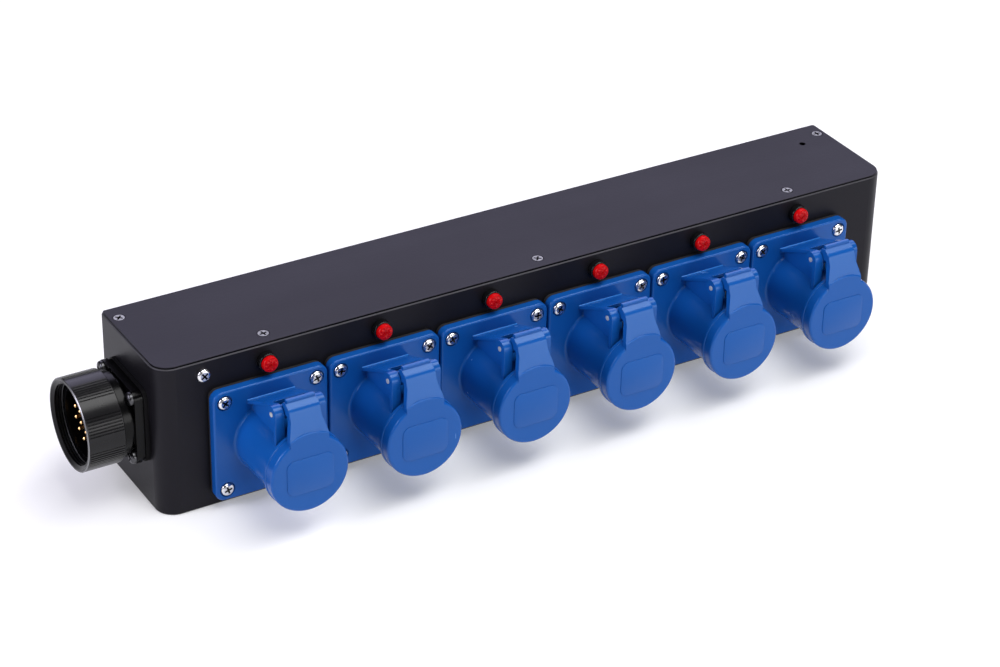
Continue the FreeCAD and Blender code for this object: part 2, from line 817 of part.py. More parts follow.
def make_inlet_shell():
    """Cast shell of the inlet: stepped flange, neck, collar and barrel, with a groove for the retainer."""
    foot = prism_left(square(inlet_flange_size, inlet_flange_corner, inlet_foot_inset),
                      inlet_gasket_thickness, inlet_foot_top)
    plate = prism_left(square(inlet_flange_size, inlet_flange_corner), inlet_foot_top, inlet_face)
    turned = [rod_left(inlet_rear_radius, -inlet_rear_depth, inlet_foot_top),
              rod_left(inlet_neck_radius, inlet_foot_top, collar_start),
              rod_left(inlet_collar_radius, collar_start, collar_end),
              rod_left(inlet_barrel_radius, collar_end, inlet_barrel_reach)]
    shell = foot.fuse([plate] + turned)
    groove = rod_left(inlet_barrel_radius + wall, retainer_start, retainer_start + retainer_thickness)
    groove = groove.cut(rod_left(inlet_barrel_radius - retainer_groove, retainer_start - wall, ring_reach))
    cuts = [rod_left(insert_radius, -inlet_rear_depth - wall, insert_reach),
            rod_left(inlet_barrel_radius - inlet_barrel_wall, insert_reach - wall, ring_reach), groove]
    cuts += [rod_left(clear_shank, 0, inlet_face + wall, y, up) for y, up in inlet_corners()]
    return shell.cut(cuts).removeSplitter()


def inlet_pin_places():
    """Places (y, up) of the pins: one on the axis and two rings, each turned by its own angle."""
    rings = [(inner_pin_circle, inner_pin_count, inner_pin_turn),
             (outer_pin_circle, outer_pin_count, outer_pin_turn)]
    places = [(0, 0)]
    for radius, count, turn in rings:
        angles = [radians(turn) + 2 * pi * i / count for i in range(count)]
        places += [(radius * cos(angle), radius * sin(angle)) for angle in angles]
    return places


def make_inlet_insert():
    insert = rod_left(insert_radius - insert_fit, insert_back, insert_reach)
    hole = inlet_pin_radius + inlet_pin_fit
    through = (insert_back - wall, insert_reach + wall)
    return insert.cut([rod_left(hole, *through, y, up) for y, up in inlet_pin_places()])


def make_inlet_pins():
    pins = []
    for y, up in inlet_pin_places():
        shank_end = inlet_pin_reach - inlet_pin_tip
        shank = rod_left(inlet_pin_radius, inlet_pin_back, shank_end, y, up)
        tip = cone_left(inlet_pin_radius, inlet_pin_radius - inlet_pin_tip, shank_end, inlet_pin_reach, y, up)
        pins.append(shank.fuse(tip))
    return group(pins)


def make_coupling_ring():
    """Turning ring: a web that runs on the inlet's barrel, a relief and the threaded stretch in front."""
    ring = rod_left(ring_radius - ring_edge, ring_start, ring_reach)
    ring = ring.fuse([cone_left(ring_radius - ring_edge, ring_radius, ring_start, ring_start + ring_edge),
                      rod_left(ring_radius, ring_start + ring_edge, ring_reach - ring_edge),
                      cone_left(ring_radius, ring_radius - ring_edge, ring_reach - ring_edge, ring_reach)])
    thread_end = ring_reach - ring_lead_in
    thread_start = thread_end - ring_thread_length
    past = ring_reach + wall
    cuts = [rod_left(inlet_barrel_radius + ring_run_clearance, ring_start - wall, past),
            rod_left(ring_relief_radius, ring_web_end, thread_start),
            rod_left(ring_thread_radius, ring_web_end, past),
            cone_left(ring_thread_radius, ring_thread_radius + ring_lead_in, thread_end, ring_reach)]
    return ring.cut(cuts).removeSplitter()


def make_ring_retainer():
    """Circlip in the barrel's groove, which keeps the coupling ring on."""
    inner = inlet_barrel_radius - retainer_groove + retainer_fit
    stop = retainer_start + retainer_thickness
    clip = rod_left(inlet_barrel_radius + retainer_rise, retainer_start, stop)
    clip = clip.cut(rod_left(inner, retainer_start - wall, stop + wall))
    gap = Part.makeBox(retainer_thickness, 2 * retainer_rise, box_height,
                       V(end(stop), -retainer_rise, inlet_axis_z))
    return clip.cut(gap)


def turned_left(shape):
    """A shape made at the front face, turned to the left end face and put on the inlet's axis."""
    turned = shape.translated(V(0, box_depth / 2, 0)).rotated(V(), V(0, 0, 1), -90)
    return turned.translated(V(end(0), 0, inlet_axis_z))


def at_inlet_corners(shape):
    return [turned_left(shape.translated(V(y, 0, up))) for y, up in inlet_corners()]


def make_earth_lug():
    """Ring terminal: an eye on the earth screw, a tail and a crimp barrel below."""
    back = -wall - lug_thickness
    crimp_top = earth_z - lug_crimp_start
    eye = rod_out(lug_radius, back, -wall, earth_x, earth_z)
    half = lug_tail_width / 2
    crimp_end = crimp_top - lug_crimp_length
    tail = box_out(earth_x - half, earth_x + half, back, -wall, crimp_end, earth_z)
    crimp = rod_up(lug_crimp_radius, crimp_end, crimp_top, earth_x, front(-wall - lug_crimp_radius))
    lug = eye.fuse([tail, crimp])
    return lug.cut(rod_out(clear_shank, back - wall, wall, earth_x, earth_z)).removeSplitter()


def tube(points, bends, radius):
    """Round tube along straight runs joined by tangent arcs of the given radii."""
    edges = []
    start = points[0]
    for before, corner, after, bend in zip(points, points[1:], points[2:], bends):
        back = (before - corner).normalize()
        ahead = (after - corner).normalize()
        half = back.getAngle(ahead) / 2
        trim = bend / tan(half)
        middle = corner + (back + ahead).normalize() * (bend / sin(half) - bend)
        edges.append(Part.makeLine(start, corner + back * trim))
        edges.append(Part.Arc(corner + back * trim, middle, corner + ahead * trim).toShape())
        start = corner + ahead * trim
    edges.append(Part.makeLine(start, points[-1]))
    section = Part.Wire(Part.makeCircle(radius, points[0], points[1] - points[0]))
    return Part.Wire(edges).makePipeShell([section], True, True)


def make_wire_loom():
    """Trunk from the inlet pins along the back wall, with leads to the sockets, lamps and earth lug."""
    root_x = end(inlet_pin_back)
    neck_x = root_x + loom_root_length
    lead_in = loom_lead_share * (socket_xs[0] - neck_x)
    turn_x = neck_x + lead_in
    run_x = turn_x + loom_swing_share * (socket_xs[0] - neck_x)
    last_x = socket_xs[-1] + loom_past_last
    root = Part.makeCone(loom_root_radius, loom_radius, loom_root_length,
                         V(root_x, 0, inlet_axis_z), V(1, 0, 0))
    trunk = tube([V(neck_x, 0, inlet_axis_z), V(turn_x, 0, inlet_axis_z), V(run_x, loom_y, socket_axis_z),
                  V(last_x, loom_y, socket_axis_z)], [lead_in, 2 * lead_in], loom_radius)
    pieces = [trunk]
    for x in socket_xs:
        start = V(x, front(contact_back), socket_axis_z)
        spread = contact_circle + line_pin_radius
        pieces.append(Part.makeCone(spread, branch_radius, branch_spread, start, V(0, 1, 0)))
        pieces.append(Part.makeCylinder(branch_radius, loom_y - start.y, start, V(0, 1, 0)))
        lamp_x = x + lamp_x_offset
        tag_y = front(-wall - lamp_depth - lamp_tag_length)
        pieces.append(tube([V(lamp_x, tag_y, lamp_axis_z), V(lamp_x, loom_y - lead_rise_bend, lamp_axis_z),
                            V(lamp_x, loom_y, socket_axis_z)], [lead_rise_bend], thin_lead_radius))
    crimp_y = front(-wall - lug_crimp_radius)
    crimp_end = earth_z - lug_crimp_start - lug_crimp_length
    pieces.append(tube([V(earth_x, crimp_y, crimp_end), V(earth_x, crimp_y, inlet_axis_z + lead_rise_bend),
                        V(earth_x, 0, inlet_axis_z)], [lead_rise_bend], thin_lead_radius))
    return root.fuse(pieces).removeSplitter()


def make_loom_saddles():
    """Saddles on the back wall, midway between the sockets, that cradle the loom."""
    saddles = []
    for before, after in zip(socket_xs, socket_xs[1:]):
        x = (before + after - saddle_width) / 2
        block = Part.makeBox(saddle_width, back_inside - loom_y, saddle_height,
                             V(x, loom_y, socket_axis_z - saddle_height / 2))
        seat = Part.makeCylinder(loom_radius + saddle_fit, 3 * saddle_width,
                                 V(x - saddle_width, loom_y, socket_axis_z), V(1, 0, 0))
        saddles.append(block.cut(seat))
    return group(saddles)


def socket_screw_length():
    return screw_seat + wall + nut_height + shank_past_nut


def build():
    """Every node of the box by name."""
    screw_bore = shank_radius + thread_clearance
    inlet_length = inlet_face + wall + nut_height + shank_past_nut
    earth_length = wall + lug_thickness + nut_height + shank_past_nut
    lamp_bore = lamp_barrel_radius + thread_clearance
    earth_place = V(earth_x, 0, earth_z)
    m4_nut = hex_nut(nut_flats, nut_height, screw_bore, -wall)
    nodes = {
        "housing": make_housing(),
        "lid": make_lid(),
        "lid_screws": make_lid_screws(),
        "lid_nuts": make_lid_nuts(),
        "socket_gaskets": group(at_sockets(make_socket_gasket())),
        "socket_contacts": group([s for g in at_sockets(make_contact_sleeves()) for s in g.Solids]),
        "socket_screws": group(at_socket_corners(pan_screw(screw_seat, socket_screw_length()))),
        "socket_nuts": group(at_socket_corners(m4_nut)),
        "hinge_pins": group(at_sockets(make_hinge_pin())),
        "lamp_lenses": group(at_lamps(make_lamp_lens())),
        "lamp_bodies": group(at_lamps(make_lamp_body())),
        "lamp_nuts": group(at_lamps(hex_nut(lamp_nut_flats, lamp_nut_height, lamp_bore, -wall))),
        "inlet_gasket": make_inlet_gasket(),
        "inlet_shell": make_inlet_shell(),
        "inlet_insert": make_inlet_insert(),
        "inlet_pins": make_inlet_pins(),
        "inlet_screws": group(at_inlet_corners(pan_screw(inlet_face, inlet_length))),
        "inlet_nuts": group(at_inlet_corners(m4_nut)),
        "coupling_ring": make_coupling_ring(),
        "ring_retainer": make_ring_retainer(),
        "earth_screw": pan_screw(0, earth_length).translated(earth_place),
        "earth_lug": make_earth_lug(),
        "earth_nut": m4_nut.translated(earth_place + V(0, lug_thickness, 0)),
        "wire_loom": make_wire_loom(),
        "loom_saddles": make_loom_saddles(),
    }
    repeated = {
        "socket_body": make_socket_body(),
        "contact_carrier": make_contact_carrier(),
        "flap": make_flap(),
        "flap_seal": make_flap_seal(),
        "flap_spring": make_flap_spring(),
    }
    for name, shape in repeated.items():
        for number, copy in enumerate(at_sockets(shape), 1):
            nodes["%s_%d" % (name, number)] = copy
    return nodes


os.makedirs("parts", exist_ok=True)
for node, solid in build().items():
    solid.exportStep("parts/%s.step" % node)
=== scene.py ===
"""Looks of the stage power distribution box: its finishes, fine pieces, studio and camera."""

import json
import logging
import math
from dataclasses import dataclass, replace
from enum import Enum, IntEnum
from typing import Any, Dict, Iterable, List, Optional, Sequence, Tuple, Union

import bmesh
import bpy
from mathutils import Matrix, Vector


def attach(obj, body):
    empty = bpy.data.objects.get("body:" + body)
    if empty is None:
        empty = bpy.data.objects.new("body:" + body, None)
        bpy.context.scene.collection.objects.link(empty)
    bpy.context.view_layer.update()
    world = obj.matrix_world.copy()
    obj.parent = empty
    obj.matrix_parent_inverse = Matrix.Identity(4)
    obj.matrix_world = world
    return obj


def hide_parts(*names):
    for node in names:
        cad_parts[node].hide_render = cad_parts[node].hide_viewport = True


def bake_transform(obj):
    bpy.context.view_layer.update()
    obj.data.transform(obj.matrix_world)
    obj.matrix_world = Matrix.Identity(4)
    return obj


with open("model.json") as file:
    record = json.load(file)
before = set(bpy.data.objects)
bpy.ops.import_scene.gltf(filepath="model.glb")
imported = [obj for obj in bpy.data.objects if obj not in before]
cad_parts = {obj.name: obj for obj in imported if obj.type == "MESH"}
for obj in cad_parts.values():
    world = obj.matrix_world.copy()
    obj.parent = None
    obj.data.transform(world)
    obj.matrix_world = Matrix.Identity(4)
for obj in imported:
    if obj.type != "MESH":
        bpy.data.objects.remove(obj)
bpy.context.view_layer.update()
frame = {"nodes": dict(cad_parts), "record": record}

LOG = logging.getLogger("power_box")
MM = 0.001
FULL_TURN = 2 * math.pi
QUARTER_TURN = math.pi / 2
NOISE_MEAN = 0.5
MERGE_DISTANCE = 1e-7
SAME_PLACE = 1e-6

Colour = Tuple[float, float, float]
Point = Sequence[float]
Profile = Sequence[Tuple[float, float]]
Band = Tuple[float, float]
Input = Union["Value", float, Sequence[float]]
Sockets = Dict[Union[str, int], Input]
Geometry = Iterable[Union[bmesh.types.BMVert, bmesh.types.BMEdge, bmesh.types.BMFace]]


class Facing(Enum):
    """The ways in which a piece built along its own +Z can face in the part's frame."""

    FRONT = ((1, 0, 0), (0, 0, 1), (0, -1, 0))
    LEFT = ((0, -1, 0), (0, 0, 1), (-1, 0, 0))
    UP = ((1, 0, 0), (0, 1, 0), (0, 0, 1))
    RIGHT = ((0, 1, 0), (0, 0, 1), (1, 0, 0))

    def matrix(self, place: Point, turn: float = 0.0) -> Matrix:
        """Matrix that turns local +Z this way and moves the local origin to a place.

        Args:
            place: Point in the part's frame, in millimetres.
            turn: Turn about local Z first, in degrees.

        Returns:
            A matrix that works in metres.
        """
        facing = Matrix(self.value).transposed().to_4x4()
        return Matrix.Translation(Vector(place) * MM) @ facing @ Matrix.Rotation(math.radians(turn), 4, "Z")


class MixSocket(IntEnum):
    """Places of a Mix node's colour sockets, whose names repeat."""

    FACTOR = 0
    FIRST = 6
    SECOND = 7
    RESULT = 2


class Value:
    """A shader socket that takes part in Python expressions through Math nodes."""

    def __init__(self, shader: "Shader", socket: bpy.types.NodeSocket) -> None:
        """Keeps the socket and the shader that it belongs to."""
        self.shader = shader
        self.socket = socket

    def maths(self, operation: str, first: Input, second: Input) -> "Value":
        """Result of one Math node.

        Args:
            operation: Name of the Math node's operation.
            first: First input.
            second: Second input.

        Returns:
            The node's result.
        """
        return self.shader.node("ShaderNodeMath", {"operation": operation}, {0: first, 1: second})

    def __add__(self, other: Input) -> "Value":
        """Sum."""
        return self.maths("ADD", self, other)

    __radd__ = __add__

    def __sub__(self, other: Input) -> "Value":
        """Difference."""
        return self.maths("SUBTRACT", self, other)

    def __rsub__(self, other: Input) -> "Value":
        """Difference from a number, as in 1 - mask."""
        return self.maths("SUBTRACT", other, self)

    def __mul__(self, other: Input) -> "Value":
        """Product."""
        return self.maths("MULTIPLY", self, other)

    __rmul__ = __mul__

    def __lt__(self, other: Input) -> "Value":
        """One where this is less than the other, and zero elsewhere."""
        return self.maths("LESS_THAN", self, other)

    def __gt__(self, other: Input) -> "Value":
        """One where this is greater than the other, and zero elsewhere."""
        return self.maths("GREATER_THAN", self, other)

    def layered(self, other: "Value", share: float) -> "Value":
        """This height and another in one, of which this has the given share."""
        return self * share + other * (1.0 - share)

    def spread(self, width: float) -> "Value":
        """This noise's departure from its mean, times a width."""
        return (self - NOISE_MEAN) * width


@dataclass(frozen=True)
class Grain:
    """One noise: features per metre, octaves, and a scale along each axis where it isn't even."""

    scale: float
    detail: float = 2.0
    stretch: Optional[Point] = None


@dataclass(frozen=True)
class Relief:
    """How a height bends the normal: share, height of one in metres, and radius of softened edges."""

    strength: float
    height: float
    edge: float = 0.0
    edge_samples: int = 6


class Shader:
    """Node tree of one material with a Principled surface, on Object coordinates."""

    def __init__(self, name: str) -> None:
        """Starts an empty material.

        Args:
            name: Name of the material.
        """
        self.material = bpy.data.materials.new(name)
        self.material.use_nodes = True
        self.tree = self.material.node_tree
        self.tree.nodes.clear()
        output = self.tree.nodes.new("ShaderNodeOutputMaterial")
        self.surface = self.tree.nodes.new("ShaderNodeBsdfPrincipled")
        self.tree.links.new(self.surface.outputs["BSDF"], output.inputs["Surface"])
        self.place = self.node("ShaderNodeTexCoord", {}, {}, "Object")

    def node(self, kind: str, settings: Dict[str, Any], inputs: Sockets,
             result: Union[str, int] = 0) -> Value:
        """Adds a node of any type.

        Args:
            kind: Blender's type name of the node.
            settings: Properties, which are set before the sockets.
            inputs: Values or links of the sockets, by name or index.
            result: Output socket to return.

        Returns:
            The chosen output.
        """
        made = self.tree.nodes.new(kind)
        for name, setting in settings.items():
            setattr(made, name, setting)
        for name, given in inputs.items():
            self.feed(made.inputs[name], given)
        return Value(self, made.outputs[result])

    def feed(self, socket: bpy.types.NodeSocket, given: Input) -> None:
        """Links a value to a socket, or sets the socket's own number.

        Args:
            socket: Input socket of a node.
            given: Value to link, or number or colour to set.
        """
        if isinstance(given, Value):
            self.tree.links.new(given.socket, socket)
        else:
            socket.default_value = given

    def noise(self, grain: Grain) -> Value:
        """Noise, about a half on average.

        Args:
            grain: Sizes of the pattern.

        Returns:
            The noise's value.
        """
        where = self.place
        if grain.stretch is not None:
            where = self.node("ShaderNodeMapping", {}, {"Vector": where, "Scale": grain.stretch})
        inputs = {"Vector": where, "Scale": grain.scale, "Detail": grain.detail}
        return self.node("ShaderNodeTexNoise", {}, inputs)

    def specks(self, scale: float, size: float) -> Value:
        """Mask of small scattered dots.

        Args:
            scale: Cells per metre.
            size: Dot radius as a share of a cell.

        Returns:
            One in a dot and zero elsewhere.
        """
        cells = self.node("ShaderNodeTexVoronoi", {}, {"Vector": self.place, "Scale": scale}, "Distance")
        return cells < size

    def level(self, band: Band) -> Value:
        """Mask of the heights between two limits in metres: one between them and zero elsewhere."""
        height = self.node("ShaderNodeSeparateXYZ", {}, {"Vector": self.place}, "Z")
        return (height > band[0]) * (height < band[1])

    def mix(self, factor: Input, first: Union[Colour, Value], second: Union[Colour, Value]) -> Value:
        """Colour between two others.

        Args:
            factor: Share of the second colour.
            first: Colour at zero.
            second: Colour at one.

        Returns:
            The mixed colour.
        """
        ends = [end if isinstance(end, Value) else (*end, 1.0) for end in (first, second)]
        inputs = {MixSocket.FACTOR: factor, MixSocket.FIRST: ends[0], MixSocket.SECOND: ends[1]}
        return self.node("ShaderNodeMix", {"data_type": "RGBA"}, inputs, MixSocket.RESULT)

    def bump(self, height: Value, relief: Relief) -> Value:
        """Normal of a surface that carries this height.

        Args:
            height: Height from zero to one.
            relief: Strength of the effect, and its edges.

        Returns:
            The bent normal.
        """
        inputs: Sockets = {"Height": height, "Strength": relief.strength, "Distance": relief.height}
        if relief.edge:
            settings = {"samples": relief.edge_samples}
            inputs["Normal"] = self.node("ShaderNodeBevel", settings, {"Radius": relief.edge})
        return self.node("ShaderNodeBump", {}, inputs)

    def principled(self, **inputs: Input) -> bpy.types.Material:
        """Sets the surface's sockets.

        Args:
            **inputs: Values or links, by the sockets' names with underscores for spaces.

        Returns:
            The finished material.
        """
        for name, given in inputs.items():
            self.feed(self.surface.inputs[name.replace("_", " ")], given)
        return self.material


@dataclass(frozen=True)
class PowderCoat:
    """Satin powder coat with orange peel, handling marks and a little dust, plus two painted bands: a painted
    highlight along a fold and a painted shadow in a gap.

    The painted highlight and the painted shadow are bands of height above the base, in metres.
    """

    name: str
    fold_highlight_band: Band = (0.0, 0.0)
    gap_shadow_band: Band = (0.0, 0.0)
    colour: Colour = (0.0045, 0.0042, 0.0056)
    worn: Colour = (0.0075, 0.007, 0.009)
    dust: Colour = (0.16, 0.16, 0.165)
    fold_highlight: Colour = (0.048, 0.0468, 0.052)
    gap_shadow: Colour = (0.002, 0.002, 0.002)
    sheen: Colour = (0.86, 0.84, 1.0)
    roughness: float = 0.40
    specular: float = 0.17
    peel: Grain = Grain(420.0)
    fine_peel: Grain = Grain(1500.0, 1.0)
    peel_share: float = 0.7
    relief: Relief = Relief(0.22, 0.0002, 0.0004)
    marks: Grain = Grain(11.0, 5.0)
    mark_spread: float = 0.12
    streaks: Grain = Grain(60.0, 3.0, (0.08, 1.0, 1.0))
    streak_spread: float = 0.06
    dust_cells: float = 38.0
    dust_size: float = 0.011
    dust_cover: float = 0.7

    def material(self) -> bpy.types.Material:
        """Builds the finish.

        Returns:
            The finish's material.
        """
        s = Shader(self.name)
        marks = s.noise(self.marks)
        streaks = s.noise(self.streaks)
        # Painted shadow: a near-black band at one height, for the gap under the lid's edge.
        gap_shadow = s.level(self.gap_shadow_band)
        dusty = s.specks(self.dust_cells, self.dust_size) * self.dust_cover
        coat = s.mix(dusty, s.mix(marks, self.colour, self.worn), self.dust)
        peel = s.noise(self.peel).layered(s.noise(self.fine_peel), self.peel_share)
        return s.principled(
            # Painted highlight in the fold band, and over it the near-black, metallic painted shadow of the
            # gap band.
            Base_Color=s.mix(gap_shadow, s.mix(s.level(self.fold_highlight_band), coat, self.fold_highlight), self.gap_shadow),
            Metallic=gap_shadow,
            Roughness=marks.spread(self.mark_spread) + streaks.spread(self.streak_spread) + self.roughness,
            Normal=s.bump(peel, self.relief),
            Specular_IOR_Level=self.specular,
            Specular_Tint=(*self.sheen, 1.0),
        )


@dataclass(frozen=True)
class Moulding:
    """Injection-moulded plastic with a fine spark grain, slight flow shades and short scuffs."""

    name: str
    colour: Colour
    shade: Colour
    scuff: Colour
    roughness: float = 0.36
    specular: float = 0.4
    scuffs: float = 0.5
    gloss: Colour = (1.0, 1.0, 1.0)
    flow: Grain = Grain(26.0, 3.0)
    flow_spread: float = 0.1
    spark: Grain = Grain(2600.0, 1.0)
    ripple: Grain = Grain(700.0)
    spark_share: float = 0.6
    relief: Relief = Relief(0.12, 0.0001, 0.0005)
    scratches: Grain = Grain(240.0, 1.0, (1.0, 0.35, 0.16))
    scratch_limit: float = 0.745
    patches: Grain = Grain(34.0)
    patch_limit: float = 0.56
    scuff_spread: float = 0.2

    def material(self) -> bpy.types.Material:
        """Builds the finish.

        Returns:
            The finish's material.
        """
        s = Shader(self.name)
        flow = s.noise(self.flow)
        scratched = s.noise(self.scratches) > self.scratch_limit
        patch = s.noise(self.patches) > self.patch_limit
        worn = scratched * patch * self.scuffs
        grain = s.noise(self.spark).layered(s.noise(self.ripple), self.spark_share)
        return s.principled(
            Base_Color=s.mix(worn, s.mix(flow, self.colour, self.shade), self.scuff),
            Roughness=flow.spread(self.flow_spread) + worn * self.scuff_spread + self.roughness,
            Normal=s.bump(grain, self.relief),
            Specular_IOR_Level=self.specular,
            Specular_Tint=(*self.gloss, 1.0),
        )


@dataclass(frozen=True)
class PlatedMetal:
    """Plated or bare metal with fine drawn marks and a slightly uneven sheen."""

    name: str
    colour: Colour
    shade: Colour
    roughness: float = 0.27
    cloud: Grain = Grain(300.0, 3.0)
    cloud_spread: float = 0.14
    drawn: Grain = Grain(2400.0, 1.0, (1.0, 1.0, 0.1))
    drawn_spread: float = 0.08
    relief: Relief = Relief(0.1, 0.00005)

    def material(self) -> bpy.types.Material:
        """Builds the finish.

        Returns:
            The finish's material.
        """
        s = Shader(self.name)
        cloud = s.noise(self.cloud)
        drawn = s.noise(self.drawn)
        return s.principled(
            Base_Color=s.mix(cloud, self.colour, self.shade),
            Metallic=1.0,
            Roughness=cloud.spread(self.cloud_spread) + drawn.spread(self.drawn_spread) + self.roughness,
            Normal=s.bump(drawn, self.relief),
        )


@dataclass(frozen=True)
class Anodised:
    """Hard-anodised turned aluminium with fine tool lines round the inlet's axis."""

    name: str
    colour: Colour = (0.0052, 0.005, 0.0058)
    shade: Colour = (0.0085, 0.0082, 0.0092)
    roughness: float = 0.24
    specular: float = 0.24
    cloud: Grain = Grain(90.0, 4.0)
    cloud_spread: float = 0.12
    lines: Grain = Grain(5200.0, 1.0, (1.0, 0.02, 0.02))
    line_spread: float = 0.08
    etch: Grain = Grain(1800.0)
    line_share: float = 0.6
    relief: Relief = Relief(0.1, 0.00006)

    def material(self) -> bpy.types.Material:
        """Builds the finish.

        Returns:
            The finish's material.
        """
        s = Shader(self.name)
        cloud = s.noise(self.cloud)
        lines = s.noise(self.lines)
        return s.principled(
            Base_Color=s.mix(cloud, self.colour, self.shade),
            Roughness=cloud.spread(self.cloud_spread) + lines.spread(self.line_spread) + self.roughness,
            Normal=s.bump(lines.layered(s.noise(self.etch), self.line_share), self.relief),
            Specular_IOR_Level=self.specular,
        )


@dataclass(frozen=True)
class Rubber:
    """Dull rubber or wire sheath with a dusty bloom."""

    name: str
    colour: Colour = (0.010, 0.010, 0.011)
    bloom: Colour = (0.022, 0.022, 0.024)
    roughness: float = 0.72
    specular: float = 0.3
    cloud: Grain = Grain(120.0, 4.0)
    cloud_spread: float = 0.16
    grain: Grain = Grain(1600.0)
    relief: Relief = Relief(0.2, 0.0001)

    def material(self) -> bpy.types.Material:
        """Builds the finish.

        Returns:
            The finish's material.
        """
        s = Shader(self.name)
        cloud = s.noise(self.cloud)
        return s.principled(
            Base_Color=s.mix(cloud, self.colour, self.bloom),
            Roughness=cloud.spread(self.cloud_spread) + self.roughness,
            Normal=s.bump(s.noise(self.grain), self.relief),
            Specular_IOR_Level=self.specular,
        )


@dataclass(frozen=True)
class ClearRed:
    """Red see-through moulding, shown as a deep colour that darkens unevenly in its body."""

    name: str
    colour: Colour = (0.56, 0.0018, 0.0036)
    shade: Colour = (0.40, 0.001, 0.002)
    roughness: float = 0.3
    specular: float = 0.16
    body: Grain = Grain(420.0)
    body_spread: float = 0.1

    def material(self) -> bpy.types.Material:
        """Builds the finish.

        Returns:
            The finish's material.
        """
        s = Shader(self.name)
        body = s.noise(self.body)
        return s.principled(
            Base_Color=s.mix(body, self.colour, self.shade),
            Roughness=body.spread(self.body_spread) + self.roughness,
            Specular_IOR_Level=self.specular,
        )


@dataclass(frozen=True)
class PaleFloor:
    """Matt white studio floor, faintly uneven, with a glow of its own."""

    name: str = "pale_floor"
    colour: Colour = (0.70, 0.70, 0.70)
    shade: Colour = (0.6895, 0.6895, 0.6895)
    glow: float = 0.36
    roughness: float = 0.9
    specular: float = 0.1
    cloud: Grain = Grain(3.0)

    def material(self) -> bpy.types.Material:
        """Builds the finish.

        Returns:
            The finish's material.
        """
        s = Shader(self.name)
        tone = s.mix(s.noise(self.cloud), self.colour, self.shade)
        return s.principled(
            Base_Color=tone,
            Roughness=self.roughness,
            Specular_IOR_Level=self.specular,
            Emission_Color=tone,
            Emission_Strength=self.glow,
        )


Finish = Union[PowderCoat, Moulding, PlatedMetal, Anodised, Rubber, ClearRed]


class Coat(Enum):
    """The finishes by the record's material slot."""

    # The housing's coat paints a highlight along its top fold, in a thin band just under the lid.
    BLACK_STEEL = ("black_steel", PowderCoat("black_powder_coat", fold_highlight_band=(0.1002, 0.1009)))
    BLUE_PLASTIC = ("blue_plastic", Moulding(
        "blue_moulding", (0.0045, 0.079, 0.335), (0.0036, 0.069, 0.305), (0.10, 0.24, 0.55),
        roughness=0.24, specular=0.32, scuffs=0.6, gloss=(0.72, 0.92, 1.0)))
    CARRIER_PLASTIC = ("carrier_plastic", Moulding(
        "carrier_moulding", (0.03, 0.03, 0.034), (0.022, 0.022, 0.025), (0.06, 0.06, 0.065), roughness=0.5))
    ZINC_STEEL = ("zinc_steel", PlatedMetal(
        "bright_zinc", (0.86, 0.86, 0.88), (0.70, 0.70, 0.73), roughness=0.24))
    BLACK_SCREW = ("black_steel_screw", PlatedMetal(
        "black_zinc", (0.10, 0.10, 0.105), (0.06, 0.06, 0.065), roughness=0.3))
    SPRING_STEEL = ("spring_steel", PlatedMetal(
        "spring_wire", (0.5, 0.5, 0.52), (0.36, 0.36, 0.38), roughness=0.32))
    RUBBER = ("rubber", Rubber("black_rubber"))
    CONTACT_BRASS = ("contact_brass", PlatedMetal(
        "contact_brass", (0.78, 0.62, 0.30), (0.62, 0.47, 0.2), roughness=0.28))
    GILT_BRASS = ("gilt_brass", PlatedMetal(
        "gilt", (0.98, 0.66, 0.30), (0.85, 0.48, 0.18), roughness=0.26))
    RED_LENS = ("red_lens", ClearRed("lamp_red"))
    BLACK_PLASTIC = ("black_plastic", Moulding(
        "black_moulding", (0.010, 0.010, 0.011), (0.014, 0.014, 0.015), (0.05, 0.05, 0.05),
        roughness=0.34, specular=0.45, scuffs=0.2))
    BLACK_ALUMINIUM = ("black_aluminium", Anodised("black_anodised"))
    WIRE_INSULATION = ("wire_insulation", Rubber(
        "wire_sheath", (0.014, 0.014, 0.015), (0.026, 0.026, 0.028), roughness=0.6))

    def __init__(self, slot: str, finish: Finish) -> None:
        """Keeps the slot's name and its finish."""
        self.slot = slot
        self.finish = finish


class Paintshop:
    """Makes each finish's material once."""

    def __init__(self) -> None:
        """Starts with no material made."""
        self.made: Dict[str, bpy.types.Material] = {}

    def material(self, finish: Finish) -> bpy.types.Material:
        """Material of a finish, made at its first use.

        Args:
            finish: The finish.

        Returns:
            The one material that all its pieces share.
        """
        if finish.name not in self.made:
            self.made[finish.name] = finish.material()
        return self.made[finish.name]

    def materials(self, *finishes: Finish) -> List[bpy.types.Material]:
        """Materials of several finishes, in their order."""
        return [self.material(finish) for finish in finishes]

    def dress(self, node: str, finish: Finish) -> None:
        """Gives a CAD node a finish.

        Args:
            node: Name of the node.
            finish: Finish in place of what it wears.
        """
        slots = frame["nodes"][node].data.materials
        slots.clear()
        slots.append(self.material(finish))


def verts_of(geometry: Geometry) -> List[bmesh.types.BMVert]:
    """The vertices among an operator's results."""
    return [part for part in geometry if isinstance(part, bmesh.types.BMVert)]


def edges_of(geometry: Geometry) -> List[bmesh.types.BMEdge]:
    """The edges among an operator's results."""
    return [part for part in geometry if isinstance(part, bmesh.types.BMEdge)]


def corners_of(spacing: float) -> List[Tuple[float, float]]:
    """The corners of a square about its middle, by the length of its side."""
    return [(a, b) for a in (-spacing / 2, spacing / 2) for b in (-spacing / 2, spacing / 2)]


@dataclass(frozen=True)
class CrossRecess:
    """Driver recess of a screw in millimetres: the round edge it fills, its arms, and its narrower floor."""

    rim: float = 2.72
    reach: float = 2.45
    half: float = 0.6
    depth: float = 1.7
    arms: int = 4
    floor_share: float = 0.45


@dataclass(frozen=True)
class Twist:
    """Second body of a piece that joins two, and two points in metres that mark the span between them."""

    body: str
    start: Point
    end: Point


